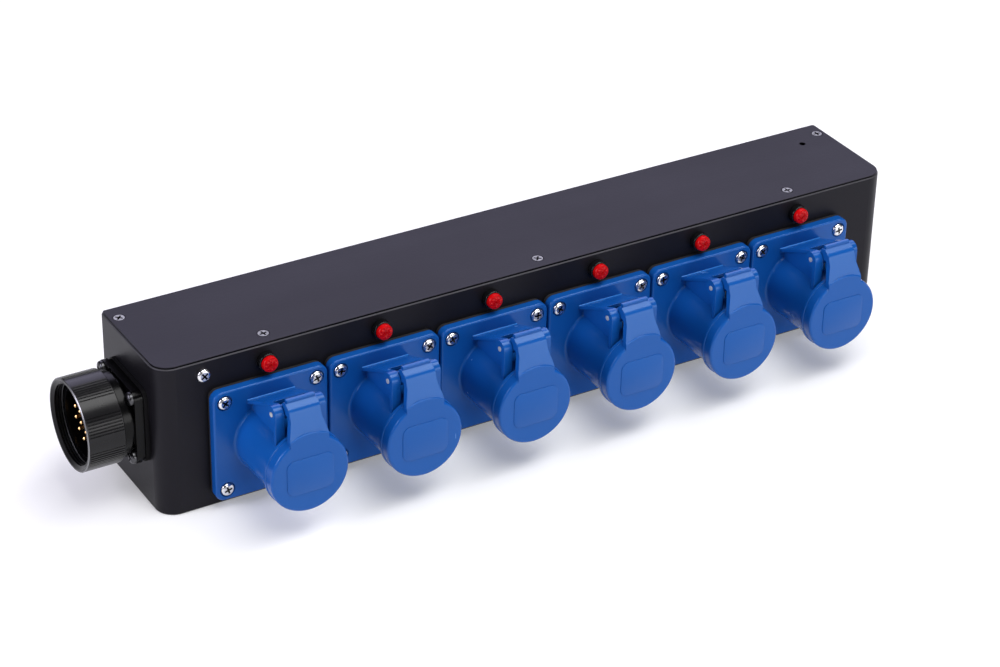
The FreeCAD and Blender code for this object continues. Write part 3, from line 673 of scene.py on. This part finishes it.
class Piece:
    """A mesh under construction, built along its own +Z in millimetres and then put in place."""

    def __init__(self, name: str) -> None:
        """Starts an empty mesh."""
        self.name = name
        self.bm = bmesh.new()

    def spin(self, profile: Profile, steps: int, closed: bool = False) -> None:
        """Turns a profile round local Z.

        Args:
            profile: Points (radius, height) in millimetres.
            steps: Facets round the axis.
            closed: Whether the profile's ends are joined.
        """
        verts = [self.bm.verts.new((radius * MM, 0.0, height * MM)) for radius, height in profile]
        pairs = list(zip(verts, verts[1:])) + ([(verts[-1], verts[0])] if closed else [])
        edges = [self.bm.edges.new(pair) for pair in pairs]
        bmesh.ops.spin(self.bm, geom=verts + edges, cent=(0, 0, 0), axis=(0, 0, 1), dvec=(0, 0, 0),
                       angle=FULL_TURN, steps=steps, use_merge=True, use_duplicate=False)
        self.clean()

    def clean(self) -> None:
        """Merges doubled vertices and points the faces outwards."""
        bmesh.ops.remove_doubles(self.bm, verts=self.bm.verts[:], dist=MERGE_DISTANCE)
        bmesh.ops.recalc_face_normals(self.bm, faces=self.bm.faces[:])

    def cross_recess(self, height: float, recess: CrossRecess) -> None:
        """Closes a round opening with a surface that holds a cross-shaped driver recess.

        Args:
            height: Height of the open edge, in millimetres.
            recess: Sizes of the recess, whose faces get the second material, a painted shade.
        """
        level, rim = height * MM, recess.rim * MM
        loop = [edge for edge in self.bm.edges
                if edge.is_boundary and abs(edge.verts[0].co.z - level) < SAME_PLACE
                and abs(edge.verts[0].co.xy.length - rim) < SAME_PLACE]
        arm = [(recess.reach, -recess.half), (recess.reach, recess.half), (recess.half, recess.half)]
        outline = []
        for number in range(recess.arms):
            turn = Matrix.Rotation(number * FULL_TURN / recess.arms, 3, "Z")
            outline += [self.bm.verts.new(turn @ Vector((a * MM, b * MM, level))) for a, b in arm]
        cross = self.bm.faces.new(outline)
        bmesh.ops.bridge_loops(self.bm, edges=loop + cross.edges[:])
        floor = bmesh.ops.extrude_discrete_faces(self.bm, faces=[cross])["faces"][0]
        corners = floor.verts[:]
        bmesh.ops.scale(self.bm, vec=(recess.floor_share, recess.floor_share, 1.0), verts=corners)
        bmesh.ops.translate(self.bm, vec=(0, 0, -recess.depth * MM), verts=corners)
        # The recess's walls and floor take the second material: painted shade in the recess.
        for face in {near for corner in corners for near in corner.link_faces}:
            face.material_index = 1
        self.clean()

    def scatter(self, places: Iterable[Matrix]) -> None:
        """Puts a copy of the whole mesh at each place and removes the first one.

        Args:
            places: Matrix of every copy, in metres.
        """
        first = self.bm.verts[:] + self.bm.edges[:] + self.bm.faces[:]
        for place in places:
            made = bmesh.ops.duplicate(self.bm, geom=first)["geom"]
            bmesh.ops.transform(self.bm, matrix=place, verts=verts_of(made))
        bmesh.ops.delete(self.bm, geom=verts_of(first), context="VERTS")

    def hand_over(self, body: str, coat: Coat, materials: Sequence[bpy.types.Material],
                  replaced: Sequence[str] = (), sharp: float = 32.0, twist: Optional[Twist] = None) -> None:
        """Makes the object and lets it ride on its body, or leaves it fixed in place where it joins two
        bodies, and hides the CAD nodes it stands for.

        Args:
            body: CAD body that carries the piece.
            coat: Not used.
            materials: Materials by face index.
            replaced: CAD nodes that the piece stands for.
            sharp: Edges bent by more than this many degrees stay sharp.
            twist: Second body and span of a piece that joins two bodies; if given, the piece stays fixed in
                place instead of riding on its body, and these are not used.
        """
        mesh = bpy.data.meshes.new(self.name)
        self.bm.to_mesh(mesh)
        self.bm.free()
        mesh.shade_smooth()
        mesh.set_sharp_from_angle(angle=math.radians(sharp))
        for material in materials:
            mesh.materials.append(material)
        made = bpy.data.objects.new(self.name, mesh)
        bpy.context.scene.collection.objects.link(made)
        if twist is None:
            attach(made, body)
        else:
            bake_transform(made)
        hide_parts(*replaced)
        LOG.info("%s: %d faces on %s", self.name, len(mesh.polygons), body)


@dataclass
class PowerBox:
    """Places that the sub-assemblies share, in millimetres, and the finishes of the CAD nodes."""

    paint: Paintshop
    end_x: float = -260.0
    front_y: float = -40.0
    lid_top: float = 102.0
    sockets: int = 6
    pitch: float = 76.05
    row_x: float = -1.7
    socket_z: float = 44.1
    inlet_z: float = 56.0
    # The lid's coat paints a shadow in a thin band along its lower edge, where it meets the housing.
    lid_finish: PowderCoat = PowderCoat("lid_powder_coat", gap_shadow_band=(0.1007, 0.1015))
    pin_finish: PlatedMetal = PlatedMetal("dull_pin", (0.85, 0.85, 0.82), (0.7, 0.7, 0.68), roughness=0.6)
    shell_finish: Anodised = Anodised(
        "black_shell", (0.0012, 0.0012, 0.0014), (0.0022, 0.0021, 0.0025), roughness=0.2, specular=0.14)
    pad_finish: Rubber = Rubber(
        "pad_rubber", (0.0025, 0.0023, 0.003), (0.005, 0.0048, 0.0056), roughness=0.6, specular=0.12)
    bezel_finish: Moulding = Moulding(
        "lamp_bezel", (0.003, 0.003, 0.0033), (0.005, 0.005, 0.0055), (0.02, 0.02, 0.02),
        roughness=0.22, specular=0.3, scuffs=0.2)

    def socket_xs(self) -> List[float]:
        """X of every socket's axis."""
        return [self.row_x + (i - (self.sockets - 1) / 2) * self.pitch for i in range(self.sockets)]

    def dress(self) -> None:
        """Gives every CAD node the finish of its slot in the record, or its own where it has one."""
        finishes = {coat.slot: coat.finish for coat in Coat}
        own = {"lid": self.lid_finish, "hinge_pins": self.pin_finish, "inlet_shell": self.shell_finish,
               "inlet_gasket": self.pad_finish, "lamp_bodies": self.bezel_finish}
        parts = frame["record"]["subparts"]
        for part in parts:
            node = part["node"]
            self.paint.dress(node, own.get(node, finishes[part["material_slot"]]))
        LOG.info("dressed %d CAD nodes", len(parts))


@dataclass
class Screws:
    """Cross-recess screws: pan heads on the sockets, inlet and earth terminal, and flat heads in the lid.

    The pan heads' curve is given as insets from the head's radius and drops from its top.
    """

    box: PowerBox
    head: float = 4.2
    shank: float = 1.95
    pan_height: float = 2.8
    pan_curve: Profile = ((0.0, 1.55), (0.13, 1.02), (0.42, 0.58), (0.88, 0.24), (1.4, 0.06))
    flat_head: float = 3.8
    flat_edge: float = 0.12
    flat_chamfer: float = 0.22
    # Width of the flat heads' outer edge that is painted as the countersink's shadow.
    shadow_edge: float = 0.5
    steps: int = 40
    recess: CrossRecess = CrossRecess()
    socket_spacing: float = 60.0
    socket_seat: float = 6.5
    socket_length: float = 12.7
    socket_turn: float = 17.0
    socket_turn_step: float = 31.0
    inlet_spacing: float = 40.0
    inlet_seat: float = 8.4
    inlet_length: float = 14.6
    inlet_turn: float = 100.0
    earth_x: float = -231.4
    earth_z: float = 92.2
    earth_length: float = 7.2
    earth_turn: float = 38.0
    lid_length: float = 5.0
    lid_turn: float = 12.0
    lid_turn_step: float = 41.0
    lid_row_x: float = 1.0
    lid_row_pitch: float = 188.0
    lid_row_y: float = -29.5
    lid_end_x: float = 253.5
    lid_end_y: float = 27.2
    # Dim metal for painted shade: on the cross recesses and on the flat heads' outer edge.
    painted_shade_finish: PlatedMetal = PlatedMetal(
        "painted_shade_metal", (0.03, 0.03, 0.033), (0.012, 0.012, 0.013), roughness=0.5)
    lid_finish: PlatedMetal = PlatedMetal(
        "dull_zinc", (0.27, 0.275, 0.25), (0.15, 0.152, 0.142), roughness=0.3)

    def pan(self, name: str, length: float) -> Piece:
        """One pan-head screw along local Z, with its seat at zero.

        Args:
            name: Name of the piece.
            length: Length of the shank.

        Returns:
            The screw, not yet in place.
        """
        top, head = self.pan_height, self.head
        piece = Piece(name)
        curve = [(head - inset, top - drop) for inset, drop in self.pan_curve]
        piece.spin([(0.0, -length), (self.shank, -length), (self.shank, 0.0), (head, 0.0), *curve,
                    (self.recess.rim, top)], self.steps)
        piece.cross_recess(top, self.recess)
        return piece

    def flat(self, name: str) -> Piece:
        """One countersunk screw along local Z, with its flat top at zero and an outer edge in painted shadow.

        Args:
            name: Name of the piece.

        Returns:
            The screw, not yet in place.
        """
        head = self.flat_head
        shadow_rim = head - self.shadow_edge
        piece = Piece(name)
        piece.spin([(0.0, -self.lid_length), (self.shank, -self.lid_length), (self.shank, self.shank - head),
                    (head - self.flat_edge, -self.flat_edge), (head - self.flat_chamfer, 0.0), (shadow_rim, 0.0),
                    (self.recess.rim, 0.0)], self.steps)
        piece.cross_recess(0.0, self.recess)
        # Painted shadow: the outer edge of the head takes the second material, for the countersink's shadow.
        for face in piece.bm.faces:
            if face.calc_center_median().xy.length > shadow_rim * MM:
                face.material_index = 1
        return piece

    def fit(self, piece: Piece, coat: Coat, finish: Finish, node: str, places: Iterable[Matrix]) -> None:
        """Puts copies of a screw in the places of a CAD node's screws."""
        piece.scatter(places)
        piece.hand_over("box", coat, self.box.paint.materials(finish, self.painted_shade_finish), [node])

    def build(self) -> None:
        """Builds the four kinds of screw in place of their CAD nodes."""
        box, zinc, black = self.box, Coat.ZINC_STEEL, Coat.BLACK_SCREW
        places = [(x + a, box.front_y - self.socket_seat, box.socket_z + b)
                  for x in box.socket_xs() for a, b in corners_of(self.socket_spacing)]
        self.fit(self.pan("socket_cross_screws", self.socket_length), zinc, zinc.finish, "socket_screws", (
            Facing.FRONT.matrix(place, self.socket_turn + i * self.socket_turn_step)
            for i, place in enumerate(places)))
        place = (self.earth_x, box.front_y, self.earth_z)
        self.fit(self.pan("earth_cross_screw", self.earth_length), zinc, zinc.finish, "earth_screw", [
            Facing.FRONT.matrix(place, self.earth_turn)])
        out = box.end_x - self.inlet_seat
        places = [(out, a, box.inlet_z + b) for a, b in corners_of(self.inlet_spacing)]
        self.fit(self.pan("inlet_cross_screws", self.inlet_length), black, black.finish, "inlet_screws", (
            Facing.LEFT.matrix(place, math.copysign(self.inlet_turn, place[1])) for place in places))
        places = [(self.lid_row_x + i * self.lid_row_pitch, self.lid_row_y, box.lid_top) for i in (-1, 0, 1)]
        places += [(side * self.lid_end_x, self.lid_end_y, box.lid_top) for side in (-1, 1)]
        self.fit(self.flat("lid_cross_screws"), zinc, self.lid_finish, "lid_screws", (
            Facing.UP.matrix(place, self.lid_turn + i * self.lid_turn_step)
            for i, place in enumerate(places)))


@dataclass
class FlapFaces:
    """Low raised field with rounded corners on the face of every flap."""

    box: PowerBox
    width: float = 30.4
    height: float = 23.6
    corner: float = 5.0
    corner_segments: int = 8
    edge: float = 0.2
    edge_segments: int = 2
    rise: float = 0.45
    sunk: float = 0.1
    face: float = 57.5

    def build_field(self, number: int, x: float) -> None:
        """Builds the field of one flap.

        Args:
            number: Number of the flap, from one.
            x: X of its socket's axis.
        """
        box = self.box
        piece = Piece("flap_field_%d" % number)
        bm = piece.bm
        half = Vector((self.width / 2, self.height / 2)) * MM
        sheet = bmesh.ops.create_grid(bm, x_segments=1, y_segments=1, size=1.0)["verts"]
        bmesh.ops.scale(bm, vec=(half.x, half.y, 1.0), verts=sheet)
        bmesh.ops.bevel(bm, geom=sheet, offset=self.corner * MM, segments=self.corner_segments, profile=0.5,
                        affect="VERTICES", material=-1)
        raised = bmesh.ops.extrude_face_region(bm, geom=bm.faces[:])["geom"]
        bmesh.ops.translate(bm, vec=(0, 0, (self.rise + self.sunk) * MM), verts=verts_of(raised))
        rim = [edge for edge in bm.edges if all(vert.co.z > self.sunk * MM for vert in edge.verts)]
        bmesh.ops.bevel(bm, geom=rim, offset=self.edge * MM, segments=self.edge_segments, profile=0.5,
                        affect="EDGES", material=-1)
        piece.clean()
        piece.scatter([Facing.FRONT.matrix((x, box.front_y - self.face + self.sunk, box.socket_z))])
        materials = box.paint.materials(Coat.BLUE_PLASTIC.finish)
        piece.hand_over("flap_unit_%d" % number, Coat.BLUE_PLASTIC, materials)

    def build(self) -> None:
        """Builds the fields of all flaps."""
        for number, x in enumerate(self.box.socket_xs(), 1):
            self.build_field(number, x)


@dataclass
class RoofBeads:
    """Thin moulded bead where every hinge roof meets its flange, in a lighter blue that paints a highlight
    along the roof's root.
    """

    box: PowerBox
    flange_front: float = 8.1
    root: float = 27.8
    half: float = 15.8
    radius: float = 0.6
    tip_share: float = 0.7
    steps: int = 16
    # Lighter blue than the other mouldings: a painted highlight on the bead.
    finish: Moulding = replace(
        Coat.BLUE_PLASTIC.finish, name="bead_highlight_blue", colour=(0.03, 0.18, 0.54), shade=(0.022, 0.15, 0.48),
        scuff=(0.16, 0.32, 0.62))

    def build(self) -> None:
        """Builds one bead with rounded ends and repeats it over the sockets."""
        box, r, share = self.box, self.radius, self.tip_share
        tip = [(0.0, self.half), (share * r, self.half - (1.0 - share) * r), (r, self.half - r)]
        piece = Piece("roof_beads")
        piece.spin([(radius, -along) for radius, along in tip] + tip[::-1], self.steps)
        piece.scatter(
            Facing.RIGHT.matrix((x, box.front_y - self.flange_front, box.socket_z + self.root))
            for x in box.socket_xs())
        piece.hand_over("box", Coat.BLUE_PLASTIC, box.paint.materials(self.finish))


@dataclass
class FlapSprings:
    """Wound torsion springs on the hinge pins, fixed in place between the barrels and the opening flaps."""

    box: PowerBox
    hinge_out: float = 41.3
    hinge_up: float = 36.6
    coil_radius: float = 3.0
    wire_radius: float = 0.52
    half: float = 2.75
    turns: float = 5.25
    steps_per_turn: int = 24
    sides: int = 10
    fixed_leg: float = 12.15
    moving_leg: float = 8.8

    def wind(self, name: str) -> Piece:
        """One spring along local Z: up the fixed leg, round the coil and out along the moving leg.

        Args:
            name: Name of the piece.

        Returns:
            The wound spring, with its hinge axis on local Z.
        """
        piece = Piece(name)
        bm = piece.bm
        foot = bmesh.ops.create_circle(bm, cap_ends=False, segments=self.sides, radius=self.wire_radius * MM)
        start = Matrix.Translation(Vector((self.coil_radius, -self.fixed_leg, -self.half)) * MM)
        bmesh.ops.transform(bm, matrix=start @ Matrix.Rotation(QUARTER_TURN, 4, "X"), verts=foot["verts"])
        root = bmesh.ops.extrude_edge_only(bm, edges=bm.edges[:])["geom"]
        bmesh.ops.translate(bm, vec=(0, self.fixed_leg * MM, 0), verts=verts_of(root))
        steps = round(self.turns * self.steps_per_turn)
        last = bmesh.ops.spin(bm, geom=verts_of(root) + edges_of(root), cent=(0, 0, 0), axis=(0, 0, 1),
                              dvec=(0, 0, 2 * self.half * MM / steps), angle=self.turns * FULL_TURN,
                              steps=steps, use_merge=False, use_duplicate=False)["geom_last"]
        tip = bmesh.ops.extrude_edge_only(bm, edges=edges_of(last))["geom"]
        bmesh.ops.translate(bm, vec=(-self.moving_leg * MM, 0, 0), verts=verts_of(tip))
        bmesh.ops.holes_fill(bm, edges=[edge for edge in bm.edges if edge.is_boundary])
        piece.clean()
        return piece

    def build(self) -> None:
        """Winds a spring for every flap."""
        box = self.box
        along = Vector((self.half - self.wire_radius, 0.0, 0.0)) * MM
        materials = box.paint.materials(Coat.SPRING_STEEL.finish)
        for number, x in enumerate(box.socket_xs(), 1):
            place = (x, box.front_y - self.hinge_out, box.socket_z + self.hinge_up)
            middle = Vector(place) * MM
            twist = Twist("flap_unit_%d" % number, tuple(middle - along), tuple(middle + along))
            piece = self.wind("wound_spring_%d" % number)
            piece.scatter([Facing.RIGHT.matrix(place)])
            piece.hand_over("box", Coat.SPRING_STEEL, materials, ["flap_spring_%d" % number], twist=twist)


@dataclass
class LampLenses:
    """Red lenses with a cut-facet front, in place of the plain CAD lenses.

    The shoulder is given as insets from the radius and drops from the front.
    """

    box: PowerBox
    z: float = 90.6
    x_offset: float = 0.9
    radius: float = 5.08
    seat: float = 1.0
    reach: float = 7.9
    base_edge: float = 0.1
    shoulder: Profile = ((0.15, 1.0), (0.35, 0.4), (0.75, 0.06))
    facet_rise: float = 0.5
    facet_rings: int = 4
    facet_share: float = 0.19
    facet_steps: int = 2
    steps: int = 32
    slack: float = 0.01
    sharp: float = 12.0

    def build(self) -> None:
        """Builds one lens, raises every other facet corner and repeats it over the sockets."""
        box, r, top = self.box, self.radius, self.reach - self.facet_rise
        ring_step = self.facet_share * r
        outer = self.facet_rings * ring_step
        piece = Piece("faceted_lenses")
        piece.spin([(0.0, self.seat), (r - self.base_edge, self.seat), (r, self.seat + self.base_edge)]
                   + [(r - inset, top - drop) for inset, drop in self.shoulder]
                   + [(count * ring_step, top) for count in range(self.facet_rings, -1, -1)], self.steps)
        raised = []
        for vert in piece.bm.verts:
            ring = vert.co.xy.length / MM
            if vert.co.z > (top - self.slack) * MM and self.slack < ring < outer - self.slack:
                step = round(math.atan2(vert.co.y, vert.co.x) / FULL_TURN * self.steps)
                if (step // self.facet_steps + round(ring / ring_step)) % 2:
                    raised.append(vert)
        bmesh.ops.translate(piece.bm, vec=(0, 0, self.facet_rise * MM), verts=raised)
        piece.scatter(
            Facing.FRONT.matrix((x + self.x_offset, box.front_y, self.z)) for x in box.socket_xs())
        materials = box.paint.materials(Coat.RED_LENS.finish)
        piece.hand_over("box", Coat.RED_LENS, materials, ["lamp_lenses"], self.sharp)


@dataclass
class CouplingRing:
    """Turning ring of the inlet: ribbed patches between plain lands, a thread inside and a worn front edge.

    Radii are from the inlet's axis and lengths from the box's end, and the thread's shares are of its pitch.
    """

    box: PowerBox
    radius: float = 28.8
    start: float = 16.2
    reach: float = 39.8
    web_end: float = 19.9
    bore: float = 23.45
    relief: float = 25.8
    thread: float = 25.0
    thread_start: float = 33.2
    thread_end: float = 38.4
    thread_depth: float = 0.75
    crest_share: float = 0.3
    flank_share: float = 0.6
    root_share: float = 0.75
    turns: int = 3
    lip: float = 27.4
    edge: float = 0.5
    worn_flank: float = 0.5
    steps: int = 192
    patches: int = 8
    grooves: int = 7
    first_patch: float = 9.5
    back_land: float = 0.9
    front_land: float = 1.3
    groove_depth: float = 0.55
    groove_floor: float = 0.2
    slack: float = 0.1
    sharp: float = 25.0
    # Darker, duller anodise for the thread: painted shade inside the ring's bore.
    thread_shade_finish: Anodised = Anodised(
        "thread_painted_shade", (0.0035, 0.0034, 0.0038), (0.0065, 0.0063, 0.007), roughness=0.3, specular=0.14)
    worn_finish: PlatedMetal = PlatedMetal(
        "worn_edge", (0.30, 0.30, 0.31), (0.16, 0.16, 0.165), roughness=0.36)

    def profile(self) -> Profile:
        """Closed section of the ring.

        Returns:
            Points as (radius, distance from the box's end).
        """
        pitch = (self.thread_end - self.thread_start) / self.turns
        r, root = self.radius, self.thread + self.thread_depth
        points = [(self.bore, self.start), (r - self.edge, self.start), (r, self.start + self.edge),
                  (r, self.start + self.back_land), (r, self.reach - self.front_land),
                  (r, self.reach - self.edge), (r - self.edge, self.reach), (self.lip, self.reach)]
        for turn in range(self.turns):
            crest = self.thread_end - turn * pitch
            points += [(self.thread, crest), (self.thread, crest - self.crest_share * pitch),
                       (root, crest - self.flank_share * pitch), (root, crest - self.root_share * pitch)]
        return points + [(self.thread, self.thread_start), (self.relief, self.thread_start),
                         (self.relief, self.web_end), (self.bore, self.web_end)]

    def groove_faces(self, piece: Piece) -> List[bmesh.types.BMFace]:
        """Faces of the outer wall that become the grooves between ribs.

        Args:
            piece: The plain ring.

        Returns:
            Every other face of each ribbed patch.
        """
        step = 360.0 / self.steps
        span = self.steps // self.patches
        found = []
        for face in piece.bm.faces:
            centre = face.calc_center_median()
            on_wall = centre.xy.length > (self.radius - self.slack) * MM
            if on_wall and self.start + self.back_land < centre.z / MM < self.reach - self.front_land:
                angle = math.degrees(math.atan2(centre.x, centre.y)) - self.first_patch
                count = int(angle % 360.0 / step) % span
                if count < 2 * self.grooves and count % 2 == 0:
                    found.append(face)
        return found

    def sink_grooves(self, piece: Piece) -> None:
        """Sinks the grooves, each narrower at its floor.

        Args:
            piece: The plain ring.
        """
        inwards = -self.groove_depth / self.radius
        narrow = (self.groove_floor, self.groove_floor, 1.0)
        for face in bmesh.ops.extrude_discrete_faces(piece.bm, faces=self.groove_faces(piece))["faces"]:
            centre, corners = face.calc_center_median(), face.verts[:]
            bmesh.ops.scale(piece.bm, vec=narrow, verts=corners, space=Matrix.Translation(-centre))
            bmesh.ops.translate(piece.bm, vec=(inwards * centre.x, inwards * centre.y, 0.0), verts=corners)
        piece.clean()

    def build(self) -> None:
        """Spins the ring, sinks its grooves and marks the thread and the worn edges."""
        box = self.box
        piece = Piece("ribbed_coupling_ring")
        piece.spin(self.profile(), self.steps, True)
        self.sink_grooves(piece)
        for face in piece.bm.faces:
            centre = face.calc_center_median()
            ring, out = centre.xy.length / MM, centre.z / MM
            if ring > self.radius - self.edge and out > self.reach - self.edge:
                face.material_index = 1
            elif ring < self.lip and out > self.thread_start:
                worn = ring > self.thread + self.slack and out < self.thread_start + self.worn_flank
                # Thread faces get the third material, the bore's painted shade.
                face.material_index = 1 if worn else 2
        piece.scatter([Facing.LEFT.matrix((box.end_x, 0.0, box.inlet_z))])
        materials = box.paint.materials(Coat.BLACK_ALUMINIUM.finish, self.worn_finish, self.thread_shade_finish)
        piece.hand_over("ring_unit", Coat.BLACK_ALUMINIUM, materials, ["coupling_ring"], self.sharp)


@dataclass(frozen=True)
class SoftBox:
    """A large soft studio light, in metres and watts."""

    name: str
    place: Point
    target: Point
    size: Tuple[float, float]
    power: float
    tint: Colour = (1.0, 1.0, 1.0)

    def build(self) -> None:
        """Adds the light, turned to its target."""
        light = bpy.data.lights.new(self.name, "AREA")
        light.shape = "RECTANGLE"
        light.size, light.size_y = self.size
        light.energy = self.power
        light.color = self.tint
        made = bpy.data.objects.new(self.name, light)
        made.location = self.place
        made.rotation_euler = (Vector(self.target) - Vector(self.place)).to_track_quat("-Z", "Y").to_euler()
        bpy.context.scene.collection.objects.link(made)


@dataclass
class Studio:
    """Pale floor, even surroundings, soft lights and the camera at the photograph's angle."""

    ambient: float = 0.06
    floor_finish: PaleFloor = PaleFloor()
    floor_size: float = 9.0
    soft_boxes: Tuple[SoftBox, ...] = (
        SoftBox("overhead", place=(0.3, -0.5, 1.75), target=(0.0, -0.05, 0.05), size=(2.2, 0.9), power=38.0),
        SoftBox("front_fill", place=(0.8, -2.1, 0.5), target=(0.0, -0.05, 0.05), size=(2.2, 0.8), power=22.5),
        SoftBox("top_back", place=(0.8, 1.5, 1.35), target=(0.0, 0.0, 0.1), size=(2.6, 1.2), power=20.5,
                tint=(0.96, 0.92, 1.25)),
        SoftBox("left_side", place=(-1.8, 0.1, 0.9), target=(-0.25, 0.0, 0.05), size=(0.9, 1.0), power=23.0,
                tint=(0.97, 0.95, 1.1)),
    )
    camera_place: Point = (-0.81889, -1.33961, 0.96680)
    forward: Point = (0.44548, 0.73496, -0.51126)
    up: Point = (0.24519, 0.44907, 0.85920)
    lens: float = 103.63
    sensor_width: float = 36.0

    def floor(self) -> None:
        """Lays the floor under the box."""
        mesh = bpy.data.meshes.new("studio_floor")
        bm = bmesh.new()
        bmesh.ops.create_grid(bm, x_segments=1, y_segments=1, size=self.floor_size / 2)
        bm.to_mesh(mesh)
        bm.free()
        mesh.materials.append(self.floor_finish.material())
        made = bpy.data.objects.new("studio_floor", mesh)
        bpy.context.scene.collection.objects.link(made)

    def surroundings(self) -> None:
        """Fills the space round the set with an even white light."""
        world = bpy.data.worlds.new("studio_world")
        world.use_nodes = True
        background = world.node_tree.nodes["Background"]
        background.inputs["Color"].default_value = (1.0, 1.0, 1.0, 1.0)
        background.inputs["Strength"].default_value = self.ambient
        bpy.context.scene.world = world

    def camera(self) -> None:
        """Puts the camera where the photograph was taken from."""
        data = bpy.data.cameras.new("photo_camera")
        data.lens = self.lens
        data.sensor_width = self.sensor_width
        data.sensor_fit = "HORIZONTAL"
        forward, up = Vector(self.forward).normalized(), Vector(self.up)
        right = forward.cross(up).normalized()
        turn = Matrix((right, right.cross(forward), -forward)).transposed().to_4x4()
        made = bpy.data.objects.new("photo_camera", data)
        made.matrix_world = Matrix.Translation(self.camera_place) @ turn
        bpy.context.scene.collection.objects.link(made)
        bpy.context.scene.camera = made

    def build(self) -> None:
        """Sets up the whole studio."""
        self.floor()
        self.surroundings()
        for soft_box in self.soft_boxes:
            soft_box.build()
        self.camera()
        view = bpy.context.scene.view_settings
        view.view_transform = "Standard"
        view.look = "None"
        LOG.info("studio ready")


def main() -> None:
    """Builds every sub-assembly and the studio in order."""
    logging.basicConfig(level=logging.INFO, format="%(message)s")
    box = PowerBox(Paintshop())
    box.dress()
    for assembly in (Screws, FlapFaces, RoofBeads, FlapSprings, LampLenses, CouplingRing):
        assembly(box).build()
    Studio().build()


if __name__ == "__main__":
    main()
